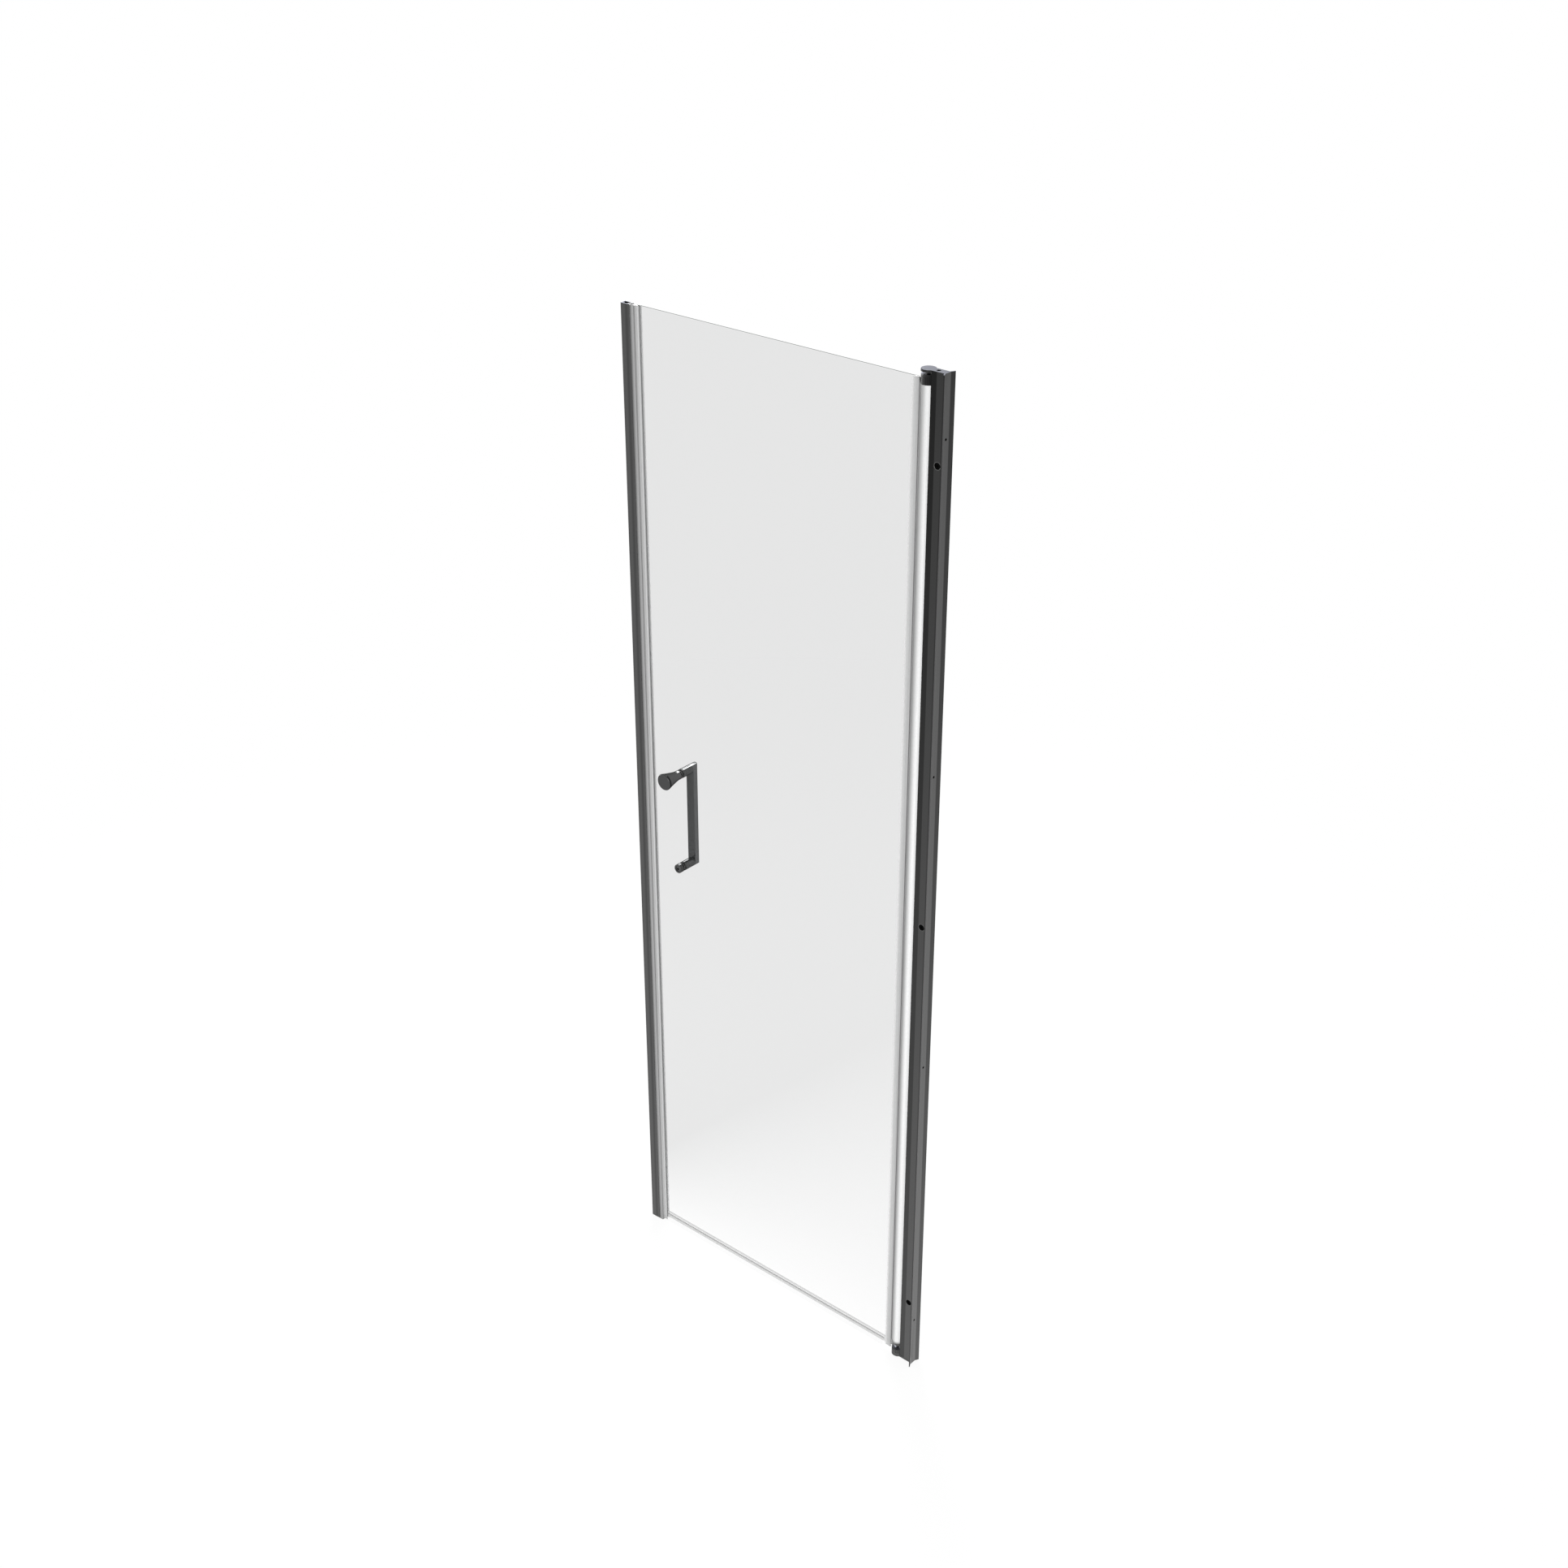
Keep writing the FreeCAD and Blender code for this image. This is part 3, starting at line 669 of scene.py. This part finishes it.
# a wall that follows a path and runs straight along z or x
def wall(bm, path, run, span, thickness, closed=False, rounding=0.0):
    part = bmesh.new()
    start, end = span
    upright = run == "z"
    spots = [part.verts.new((a, b, start) if upright else (start, a, b)) for a, b in path]
    pairs = list(zip(spots, spots[1:] + spots[:1]))
    edges = [part.edges.new(pair) for pair in (pairs if closed else pairs[:-1])]
    grown = bmesh.ops.extrude_edge_only(part, edges=edges)["geom"]
    lifted = [made for made in grown if isinstance(made, bmesh.types.BMVert)]
    travel = (0, 0, end - start) if upright else (end - start, 0, 0)
    bmesh.ops.translate(part, vec=travel, verts=lifted)
    if rounding:
        bends = [edge for edge in part.edges if len(edge.link_faces) == 2]
        bevelEdges(part, bends, rounding, 4)
    bmesh.ops.recalc_face_normals(part, faces=part.faces)
    bmesh.ops.solidify(part, geom=part.faces, thickness=thickness)
    bmesh.ops.recalc_face_normals(part, faces=part.faces)
    bevelEdges(part, sharpEdges(part, "rim"), thickness * shaping["rimShare"])
    addTo(bm, part)


# a solid turned about the line through centre along y, from (radius, y) points
def turned(outline, centre):
    bm = bmesh.new()
    spots = [bm.verts.new((centre.x + radius, y, centre.z)) for radius, y in outline]
    edges = [bm.edges.new(pair) for pair in zip(spots, spots[1:])]
    bmesh.ops.spin(
        bm, geom=spots + edges, cent=centre, axis=(0, 1, 0), dvec=(0, 0, 0),
        angle=math.tau, steps=shaping["turnSteps"], use_merge=True, use_duplicate=False,
    )
    bmesh.ops.remove_doubles(bm, verts=bm.verts, dist=shaping["touch"])
    bmesh.ops.recalc_face_normals(bm, faces=bm.faces)
    return bm


def ringAt(bm, centre, radius, y):
    def onRing(vert):
        reach = math.hypot(vert.co.x - centre.x, vert.co.z - centre.z)
        return abs(reach - radius) < shaping["touch"] and abs(vert.co.y - y) < shaping["touch"]
    return [edge for edge in bm.edges if all(onRing(vert) for vert in edge.verts)]


# a screw with a hexagon socket, standing on z = 0 with its head up, then turned into place
def socketScrew(bm, screw, place):
    part = bmesh.new()
    rim = bmesh.ops.create_circle(part, segments=shaping["headSides"], radius=screw["head"])["verts"]
    socket = bmesh.ops.create_circle(part, segments=6, radius=screw["socket"] / math.sqrt(3))["verts"]
    rimEdges = list({edge for vert in rim for edge in vert.link_edges})
    socketEdges = list({edge for vert in socket for edge in vert.link_edges})
    bmesh.ops.bridge_loops(part, edges=rimEdges + socketEdges)
    for edges, depth in ((socketEdges, screw["socketDepth"]), (rimEdges, screw["height"])):
        grown = bmesh.ops.extrude_edge_only(part, edges=edges)["geom"]
        sunk = [made for made in grown if isinstance(made, bmesh.types.BMVert)]
        bmesh.ops.translate(part, vec=(0, 0, -depth), verts=sunk)
        loop = [edge for edge in grown if isinstance(edge, bmesh.types.BMEdge) and len(edge.link_faces) == 1]
        floor = bmesh.ops.contextual_create(part, geom=loop)["faces"]
    bmesh.ops.recalc_face_normals(part, faces=part.faces)
    bmesh.ops.inset_individual(part, faces=floor, thickness=screw["head"] - screw["shank"])
    shank = bmesh.ops.extrude_discrete_faces(part, faces=floor)["faces"]
    tipVerts = [vert for face in shank for vert in face.verts]
    bmesh.ops.translate(part, vec=(0, 0, -screw["length"]), verts=tipVerts)
    bevelEdges(part, [edge for edge in rimEdges if edge.is_valid], screw["edge"], 3)
    bmesh.ops.recalc_face_normals(part, faces=part.faces)
    bmesh.ops.transform(part, matrix=place, verts=part.verts)
    addTo(bm, part)


chromeFinish = chromePlate()
steelFinish = turnedSteel("turnedSteel", steel["tone"])
pinSteel = turnedSteel("pinSteel", steel["pinTone"])
# painted shade: the clamp and bracket screws are near black, standing in for the shade in their holes
shadedSteel = turnedSteel("shadedSteel", steel["screwShadeTone"])
rubberFinish = softMatt("gasketRubber", tone=0.004, scale=500, gloss=0.04)
nylonFinish = softMatt("greyNylon", tone=0.06, scale=900)
magnetFinish = softMatt("magnetStrip", tone=0.34, scale=600)
bracketFinish = castMetal("bracketMetal", bracketTone, doorHeight, "bracketLitTop")
knuckleFinish = castMetal("knuckleMetal", ribbedTone, knuckleHigh.z, "knuckleLitTop")
ringFinish = castMetal("ringMetal", ribbedTone, ringHigh.z, "ringLitTop")
glassFinish = clearGlass()
postFinish = extruded("postAluminium", postHigh.z, postTone)
wallFinish = extruded("wallAluminium", wallHigh.z, wallTone)
strikeFinish = extruded("strikeAluminium", strikeHigh.z, strikeTone, extrusion["strikeLineTone"])
dress(steelFinish, "post_clamp_nuts", "upper_handle_stud")
dress(pinSteel, "top_pivot_pin", "bottom_pivot_pin")
dress(nylonFinish, "top_bush", "thrust_washer", "hole_sleeves")
print("finishes done")

# rigid pieces keep their solids' shape, with broken edges
rails = {"edge": 0.25 * mm}
keepShape("hingePost", "hinge_post", rails["edge"], postFinish, "frame", "bright_aluminium")
keepShape("wallRail", "hinge_wall_profile", rails["edge"], wallFinish, "frame", "bright_aluminium")
keepShape("strikeRail", "strike_wall_profile", rails["edge"], strikeFinish, "frame", "bright_aluminium")

# pivots: the cup's lower rim is rounder than the other edges
pivots = {"edge": 0.35 * mm, "ribEdge": 0.15 * mm, "cupEdge": 0.6 * mm, "cupHeight": 3.6 * mm, "cupReach": 12 * mm}


def underCup(spot):
    return spot.z < pivots["cupHeight"] and spot.x < pivot.x + pivots["cupReach"]


keepShape("topBracket", "top_pivot_bracket", pivots["edge"], bracketFinish, "frame", "pivot_metal")
keepShape("bottomBracket", "bottom_pivot_bracket", pivots["edge"], bracketFinish, "frame", "pivot_metal",
          wide=pivots["cupEdge"], picked=underCup)
keepShape("indexRing", "index_ring", pivots["ribEdge"], ringFinish, "frame", "pivot_metal")
keepShape("topKnuckle", "top_knuckle", pivots["ribEdge"], knuckleFinish, "leaf", "pivot_metal")
keepShape("glassSheet", "glass_panel", glass["brokenEdge"], glassFinish, "leaf", "clear_glass")

# pull bar: cuts across its posts keep the shading even along them
pullBar = {"edge": 0.6 * mm, "cuts": (6 * mm, 15 * mm, 25 * mm)}


def makePullBar():
    bm = broken("pull_handle", pullBar["edge"], 3)
    for place in pullBar["cuts"]:
        bmesh.ops.bisect_plane(
            bm, geom=bm.verts[:] + bm.edges[:] + bm.faces[:], dist=shaping["touch"],
            plane_co=(0, place, 0), plane_no=(0, 1, 0),
        )
    newPiece("pullBar", bm, chromeFinish, "leaf", "chrome", "pull_handle")


makePullBar()
print("rigid pieces done")

# magnet strips and rings, soft at every edge
softEdges = {"magnet": 0.5 * mm, "ring": 0.35 * mm}
keepShape("strikeMagnetStrip", "strike_magnet", softEdges["magnet"], magnetFinish, "frame", "magnet", segments=3)
keepShape("doorMagnetStrip", "door_magnet", softEdges["magnet"], magnetFinish, "leaf", "magnet", segments=3)
keepShape("knobSideRings", "inside_gaskets", softEdges["ring"], rubberFinish, "leaf", "gasket", segments=3)
keepShape("barSideRings", "outside_gaskets", softEdges["ring"], chromeFinish, "leaf", "gasket", segments=3)

# knob: a flat face, a full round rim and a flare that hollows a little towards the neck
knob = {
    "corner": 16.6 * mm, "rim": 3.2 * mm, "waist": 0.45 * mm, "waistBend": 9 * mm,
    "neck": 8.75 * mm, "neckLength": 5.5 * mm, "neckBend": 4 * mm, "backEdge": 0.3 * mm,
}


def makeKnob():
    face, back = knobLow.y, knobHigh.y
    neckEnd = back - knob["neckLength"]
    middle = (face + neckEnd) / 2
    waist = (knob["corner"] + knob["neck"]) / 2 - knob["waist"]
    outline = [
        (0, face), (knob["corner"], face), (waist, middle), (knob["neck"], neckEnd), (knob["neck"], back), (0, back),
    ]
    bm = turned(outline, knobMiddle)
    bevelEdges(bm, ringAt(bm, knobMiddle, waist, middle), knob["waistBend"], 6)
    bevelEdges(bm, ringAt(bm, knobMiddle, knob["neck"], neckEnd), knob["neckBend"], 4)
    bevelEdges(bm, ringAt(bm, knobMiddle, knob["corner"], face), knob["rim"], 6)
    bevelEdges(bm, ringAt(bm, knobMiddle, knob["neck"], back), knob["backEdge"])
    newPiece("knob", bm, chromeFinish, "leaf", "chrome", "inside_knob")


def makeCap():
    radius = (capHigh.x - capLow.x) / 2
    face, back = capLow.y, capHigh.y
    floor = face + cap["depth"]
    outline = [
        (cap["bore"], back), (cap["bore"], floor), (cap["recess"], floor), (cap["recess"], face),
        (radius, face), (radius, back), (cap["bore"], back),
    ]
    bm = turned(outline, capMiddle)
    bevelEdges(bm, ringAt(bm, capMiddle, radius, face), cap["rim"], 5)
    bevelEdges(bm, ringAt(bm, capMiddle, cap["recess"], face), cap["recessEdge"], 3)
    newPiece("cap", bm, chromeFinish, "leaf", "chrome", "inside_cap")


makeKnob()
makeCap()
print("knob and cap done")

# screws: flat heads in the post, cap heads in the brackets and in the cap, where the bolt's length is the solid's
clampScrew = {
    "head": clampHole["head"], "height": 1.3 * mm, "shank": 2.5 * mm, "length": 4.7 * mm,
    "socket": 4.0 * mm, "socketDepth": 0.9 * mm, "edge": 0.3 * mm,
}
bracketScrew = {
    "head": 3.5 * mm, "height": 2.4 * mm, "shank": 1.7 * mm, "length": 14 * mm,
    "socket": 3.0 * mm, "socketDepth": 1.4 * mm, "edge": 0.3 * mm,
}
capBolt = {
    "head": 4.9 * mm, "height": 4.0 * mm, "shank": 3.0 * mm,
    "socket": 5.0 * mm, "socketDepth": 2.4 * mm, "edge": 0.5 * mm,
}


def makeScrews():
    inward = Matrix.Rotation(math.radians(90), 4, "X")
    under = Matrix.Rotation(math.radians(180), 4, "X")
    bm = bmesh.new()
    for height in clampHeights:
        socketScrew(bm, clampScrew, Matrix.Translation((clampMiddle.x, clampLow.y, height)) @ inward)
    newPiece("clampScrews", bm, shadedSteel, "frame", "steel", "post_clamp_screws")
    bm = bmesh.new()
    socketScrew(bm, bracketScrew, Matrix.Translation((portMiddle.x, portMiddle.y, portHigh.z)))
    socketScrew(bm, bracketScrew, Matrix.Translation((portMiddle.x, portMiddle.y, portLow.z)) @ under)
    newPiece("bracketScrews", bm, shadedSteel, "frame", "steel", "bracket_screws")
    low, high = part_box("lower_handle_bolt")
    middle = (low + high) / 2
    bolt = {**capBolt, "length": high.y - low.y - capBolt["height"]}
    bm = bmesh.new()
    socketScrew(bm, bolt, Matrix.Translation((middle.x, low.y, middle.z)) @ inward)
    newPiece("capBolt", bm, steelFinish, "leaf", "steel", "lower_handle_bolt")


makeScrews()
print("screws done")

# the strips' legs stand this far out from the middle of the glass
legOut = glassHigh.y + 1.0 * mm

# hinge strip: a clip on the glass, a neck and a round bulb that turns in the post's cove
hingeStrip = {
    "wall": 0.9 * mm,
    "web": 1.5 * mm,
    "lip": 0.35 * mm,
    "lipLength": 3 * mm,
    "rounding": 0.5 * mm,
    "neckHalf": 1.6 * mm,
    "neckFill": 0.6,
    "bulbRadius": 11.4 * mm,
    "bulbWall": 1.1 * mm,
    "bulbSides": 56,
    "bulbBottom": 30.3 * mm,
    "bulbGap": 0.3 * mm,
    "bulbSoft": 0.2 * mm,
    "clipTones": [(0.0, 0.72), (4.3, 0.7), (7.0, 0.605), (10.3, 0.58), (21.0, 0.4)],
    "clipAlpha": [(0.0, 0.02), (2.3, 0.03), (4.3, 0.52), (6.3, 0.82), (21.0, 0.90)],
    "bulbTones": [(-11.4, 0.16), (-6.2, 0.165), (0.0, 0.5), (6.7, 1.0), (11.4, 1.0)],
    "bulbAlpha": 0.94,
    "footShift": 3.0,
    "footShade": [(-8.6, 0.45), (3.9, 0.92), (11.4, 0.89)],
    "shadeEnds": (32 * mm, 41 * mm),
}


def onHingeBulb(finish):
    return finish.x.past(pivot.x - hingeStrip["bulbRadius"], hingeStrip["bulbSoft"])


# painted shade and light: the clip darkens towards the web, the bulb is dark at its neck and white on its free side,
# and painted shade darkens the bulb near its foot
def hingeStripTone(finish):
    clip = finish.tones((finish.x - hingeLow.x) / mm, hingeStrip["clipTones"])
    across = acrossPivot(finish)
    bulb = finish.tones(across + wayDown(finish) * hingeStrip["footShift"], hingeStrip["bulbTones"])
    shade = finish.tones(across, hingeStrip["footShade"]) * (1 - finish.z.step(*hingeStrip["shadeEnds"]))
    return between(clip, bulb * (1 - shade), onHingeBulb(finish))


def hingeStripAlpha(finish):
    clip = finish.tones((finish.x - hingeLow.x) / mm, hingeStrip["clipAlpha"])
    return between(clip, hingeStrip["bulbAlpha"], onHingeBulb(finish))


def makeHingeStrip():
    bm = bmesh.new()
    bottom, top = hingeStrip["bulbBottom"], knuckleLow.z - hingeStrip["bulbGap"]
    webEnd = glassHigh.x + hingeStrip["web"]
    lipOut, lipEnd = legOut + hingeStrip["lip"], hingeLow.x + hingeStrip["lipLength"]
    clip = [
        (hingeLow.x, -lipOut), (lipEnd, -legOut), (webEnd, -legOut),
        (webEnd, legOut), (lipEnd, legOut), (hingeLow.x, lipOut),
    ]
    wall(bm, clip, "z", (bottom, hingeHigh.z), hingeStrip["wall"], rounding=hingeStrip["rounding"])
    for side in (-1, 1):
        leg = [(hingeLow.x, side * lipOut), (lipEnd, side * legOut), (webEnd, side * legOut)]
        wall(bm, leg, "z", (hingeLow.z, bottom), hingeStrip["wall"])
    radius, half = hingeStrip["bulbRadius"], hingeStrip["neckHalf"]
    neckEnd = pivot.x - radius + hingeStrip["bulbWall"] / 2
    neck = [(webEnd, -half), (neckEnd, -half), (neckEnd, half), (webEnd, half)]
    wall(bm, neck, "z", (bottom, top), half * hingeStrip["neckFill"], closed=True)
    turns = [math.tau * index / hingeStrip["bulbSides"] for index in range(hingeStrip["bulbSides"])]
    bulb = [(pivot.x + radius * math.cos(turn), radius * math.sin(turn)) for turn in turns]
    wall(bm, bulb, "z", (bottom, top), hingeStrip["bulbWall"], closed=True)
    material = clearStrip("hingeStripClear", hingeStripTone, hingeStripAlpha)
    newPiece("hingeStrip", bm, material, "leaf", "clear_seal", "hinge_seal")


# closing strip: a magnet chamber in front of the glass edge, with two legs on the glass
closingStrip = {
    "wall": 0.9 * mm,
    "chamber": 5.8 * mm,
    "rounding": 0.7 * mm,
    "lap": 0.2 * mm,
    "lip": 0.3 * mm,
    "lipLength": 2 * mm,
    "frontTones": [(0.0, 0.32), (1.8, 0.31), (7.4, 0.69), (11.2, 0.38)],
    "rearTones": [(5.8, 0.6), (7.4, 0.84), (11.4, 0.95)],
    "frontAlpha": [(0.0, 0.90), (10.4, 0.88), (11.4, 0.75)],
    "rearAlpha": [(5.8, 0.70), (9.8, 0.60), (11.4, 0.45)],
    "rearSoft": 1 * mm,
    "legStart": (0.0, 0.5 * mm),
}


def makeClosingStrip():
    bm = bmesh.new()
    face, half = closingLow.x, closingHigh.y
    webEnd = face + closingStrip["chamber"]
    span = (closingLow.z, closingHigh.z)
    chamber = [(face, -half), (webEnd, -half), (webEnd, half), (face, half)]
    wall(bm, chamber, "z", span, closingStrip["wall"], closed=True, rounding=closingStrip["rounding"])
    start, bend = webEnd - closingStrip["lap"], closingHigh.x - closingStrip["lipLength"]
    for side in (-1, 1):
        tip = side * (legOut + closingStrip["lip"])
        wall(bm, [(start, side * legOut), (bend, side * legOut), (closingHigh.x, tip)], "z", span, closingStrip["wall"])

    def acrossStrip(finish, front, rear, onRear):
        across = (finish.x - closingLow.x) / mm
        frontTone = finish.tones(across, closingStrip[front])
        return between(frontTone, finish.tones(across, closingStrip[rear]), onRear)

    # painted shade: tones across the strip, darker across the chamber's front and at the legs' ends, lighter on the
    # rear leg
    def tone(finish):
        return acrossStrip(finish, "frontTones", "rearTones", finish.y.past(0.0, closingStrip["rearSoft"]))

    def alpha(finish):
        onLeg = finish.x.rise(webEnd, closingStrip["legStart"])
        return acrossStrip(finish, "frontAlpha", "rearAlpha", finish.y.past(0.0, closingStrip["rearSoft"]) * onLeg)

    material = clearStrip("closingStripClear", tone, alpha)
    newPiece("closingStrip", bm, material, "leaf", "clear_seal", "closing_seal")


# strike strip: a magnet chamber on a barbed stem in the strike rail's mouth
strikeStrip = {
    "wall": 0.9 * mm,
    "body": 9.85 * mm,
    "rounding": 0.7 * mm,
    "lap": 0.2 * mm,
    "stemHalf": 3.3 * mm,
    "barbHalf": 4.0 * mm,
    "barbLength": 2 * mm,
    "tones": [(0.0, 0.07), (6.4, 0.09), (11.2, 0.38), (15.0, 0.37)],
    "alpha": 0.88,
}


def makeStrikeStrip():
    bm = bmesh.new()
    face, half = stripHigh.x, stripHigh.y
    back = face - strikeStrip["body"]
    span = (stripLow.z, stripHigh.z)
    body = [(back, -half), (face, -half), (face, half), (back, half)]
    wall(bm, body, "z", span, strikeStrip["wall"], closed=True, rounding=strikeStrip["rounding"])
    stem, barb = strikeStrip["stemHalf"], strikeStrip["barbHalf"]
    start, hook = back + strikeStrip["lap"], stripLow.x + strikeStrip["barbLength"]
    path = [
        (start, -stem), (hook, -stem), (hook, -barb), (stripLow.x, -stem),
        (stripLow.x, stem), (hook, barb), (hook, stem), (start, stem),
    ]
    wall(bm, path, "z", span, strikeStrip["wall"])

    # painted shade: darker at the back of the strip inside the rail's mouth, lighter towards its face
    def tone(finish):
        return finish.tones((finish.x - stripLow.x) / mm, strikeStrip["tones"])

    def alpha(finish):
        return strikeStrip["alpha"]

    material = clearStrip("strikeStripClear", tone, alpha)
    newPiece("strikeStrip", bm, material, "frame", "clear_seal", "strike_seal")


# foot strip: a clip on the glass's lower edge, an upright blade and a drip vane that curves inwards
footStrip = {
    "wall": 0.9 * mm,
    "web": 1.3 * mm,
    "rounding": 0.5 * mm,
    "bladeIn": 0.45 * mm,
    "lap": 0.2 * mm,
    "vane": [(-3.4, -1.2), (-5.2, -2.6), (-7.4, -5.4), (-9.4, -9.2)],
    "tones": [(0.0, 0.36), (10.0, 0.36), (12.0, 0.34), (14.0, 0.30), (16.6, 0.28)],
    "bladeAlpha": [(0.0, 0.04), (3.4, 0.235), (10.5, 0.235), (10.9, 0.03)],
    "frontAlpha": [(10.5, 0.02), (12.2, 0.03), (15.0, 0.34)],
    "rearAlpha": 0.22,
    "webAlpha": 0.03,
    "vaneAlpha": 0.03,
    "legStart": (1.0 * mm, 1.4 * mm),
    "webStart": (-0.6 * mm, -0.5 * mm),
    "vaneEnd": (-4.4 * mm, -4.2 * mm),
    "rearSoft": 0.5 * mm,
}


def makeFootStrip():
    bm = bmesh.new()
    span = (footLow.x, footHigh.x)
    webBottom = glassLow.z - footStrip["web"]
    clip = [(-legOut, footHigh.z), (-legOut, webBottom), (legOut, webBottom), (legOut, footHigh.z)]
    wall(bm, clip, "x", span, footStrip["wall"], rounding=footStrip["rounding"])
    bladeOut = legOut - footStrip["bladeIn"]
    blade = [(bladeOut, webBottom + footStrip["lap"]), (bladeOut, footLow.z)]
    wall(bm, blade, "x", span, footStrip["wall"])
    vane = [(across * mm, glassLow.z + drop * mm) for across, drop in footStrip["vane"]]
    wall(bm, vane, "x", span, footStrip["wall"])

    # painted shade: a little darker towards the top, where the strip meets the glass
    def tone(finish):
        return finish.tones((finish.z - footLow.z) / mm, footStrip["tones"])

    def alpha(finish):
        height = (finish.z - footLow.z) / mm
        onLeg = finish.z.rise(webBottom, footStrip["legStart"])
        rear = finish.y.past(0.0, footStrip["rearSoft"])
        onVane = (1 - finish.y.step(*footStrip["vaneEnd"])) * (1 - onLeg)
        onWeb = finish.z.rise(webBottom, footStrip["webStart"]) * (1 - onLeg)
        leg = between(finish.tones(height, footStrip["frontAlpha"]), footStrip["rearAlpha"], rear)
        blade = between(finish.tones(height, footStrip["bladeAlpha"]), footStrip["webAlpha"], onWeb)
        return between(between(blade, footStrip["vaneAlpha"], onVane), leg, onLeg)

    material = clearStrip("footStripClear", tone, alpha, "x")
    newPiece("footStrip", bm, material, "leaf", "clear_seal", "bottom_seal")


# foot knuckle: the clear plug that carries on the bulb down to the index ring
footKnuckle = {"edge": 0.3 * mm}


def makeFootKnuckle():
    # painted shade and light of the hinge strip's bulb, with painted shade near its foot
    material = clearStrip("footKnuckleClear", hingeStripTone, hingeStripAlpha)
    keepShape("footKnuckle", "bottom_knuckle", footKnuckle["edge"], material, "leaf", "clear_seal")


makeHingeStrip()
makeClosingStrip()
makeStrikeStrip()
makeFootStrip()
makeFootKnuckle()
print("sealing strips done")

# stage: pale floor, white surround, soft lamps
stage = {
    "floorSize": 40.0,
    "floorTone": 0.95,
    "paperScale": (30, 30, 30),
    "paperTone": 0.02,
    "shadowReach": (1.0, 3.0),
    "glow": 0.92,
    "ambient": 0.86,
    "white": colour(1, 1, 1),
}


def floorFinish():
    finish = Finish("paleFloor")
    far = radial(finish.x, finish.y).step(*stage["shadowReach"])
    tone = stage["floorTone"] * (1 + finish.grain(stage["paperScale"]).around(stage["paperTone"]))
    lit = finish.node("ShaderNodeBsdfDiffuse", inputs={"Color": finish.grey(tone)})
    white = finish.node("ShaderNodeEmission", inputs={"Color": stage["white"], "Strength": 1.0})
    share = finish.seen() * between(stage["glow"], 1.0, far)
    return finish.output(finish.node("ShaderNodeMixShader", inputs={0: share, 1: lit, 2: white}))


def addFloor():
    bm = bmesh.new()
    bmesh.ops.create_grid(bm, x_segments=1, y_segments=1, size=stage["floorSize"] / 2)
    mesh = bpy.data.meshes.new("floor")
    bm.to_mesh(mesh)
    bm.free()
    floor = bpy.data.objects.new("floor", mesh)
    bpy.context.scene.collection.objects.link(floor)
    mesh.materials.append(floorFinish())


# white where it is seen, a little less as light
def addSurround():
    world = bpy.data.worlds.new("surround")
    bpy.context.scene.world = world
    world.use_nodes = True
    graph = Graph(world.node_tree)
    level = between(stage["ambient"], 1.0, graph.seen())
    back = graph.node("ShaderNodeBackground", inputs={"Color": stage["white"], "Strength": level})
    graph.node("ShaderNodeOutputWorld", inputs={"Surface": back})


lamps = {
    "frontKey": {"at": (1.2, -4.2, 2.2), "aim": (0.0, 0.0, 0.9), "size": 2.4, "power": 40},
    "leftRim": {"at": (-2.1, 2.0, 2.5), "aim": (-0.24, 0.02, 1.07), "size": 0.7, "power": 40},
    "leftFill": {"at": (-2.7, -0.52, 1.12), "aim": (-0.24, -0.02, 1.07), "size": 0.45, "power": 14},
    "handleRim": {"at": (-0.47, 0.80, 1.91), "aim": (-0.24, 0.02, 1.07), "size": 0.30, "power": 8},
}


def addLamps():
    for name, lamp in lamps.items():
        light = bpy.data.lights.new(name, "AREA")
        light.size = lamp["size"]
        light.energy = lamp["power"]
        holder = bpy.data.objects.new(name, light)
        holder.location = lamp["at"]
        holder.visible_camera = False
        aim = Vector(lamp["aim"]) - Vector(lamp["at"])
        holder.rotation_euler = aim.to_track_quat("-Z", "Y").to_euler()
        bpy.context.scene.collection.objects.link(holder)


viewpoint = {"at": (2.2489, -2.5849, 2.9576), "turn": 40.84, "tilt": 28.02, "lens": 50.644, "sensor": 36.0}


def addCamera():
    data = bpy.data.cameras.new("camera")
    data.lens = viewpoint["lens"]
    data.sensor_width = viewpoint["sensor"]
    camera = bpy.data.objects.new("camera", data)
    camera.location = viewpoint["at"]
    camera.rotation_euler = (math.radians(90 - viewpoint["tilt"]), 0, math.radians(viewpoint["turn"]))
    bpy.context.scene.collection.objects.link(camera)
    bpy.context.scene.camera = camera


addFloor()
addSurround()
addLamps()
addCamera()
bpy.context.scene.view_settings.view_transform = "Standard"
print("stage done")
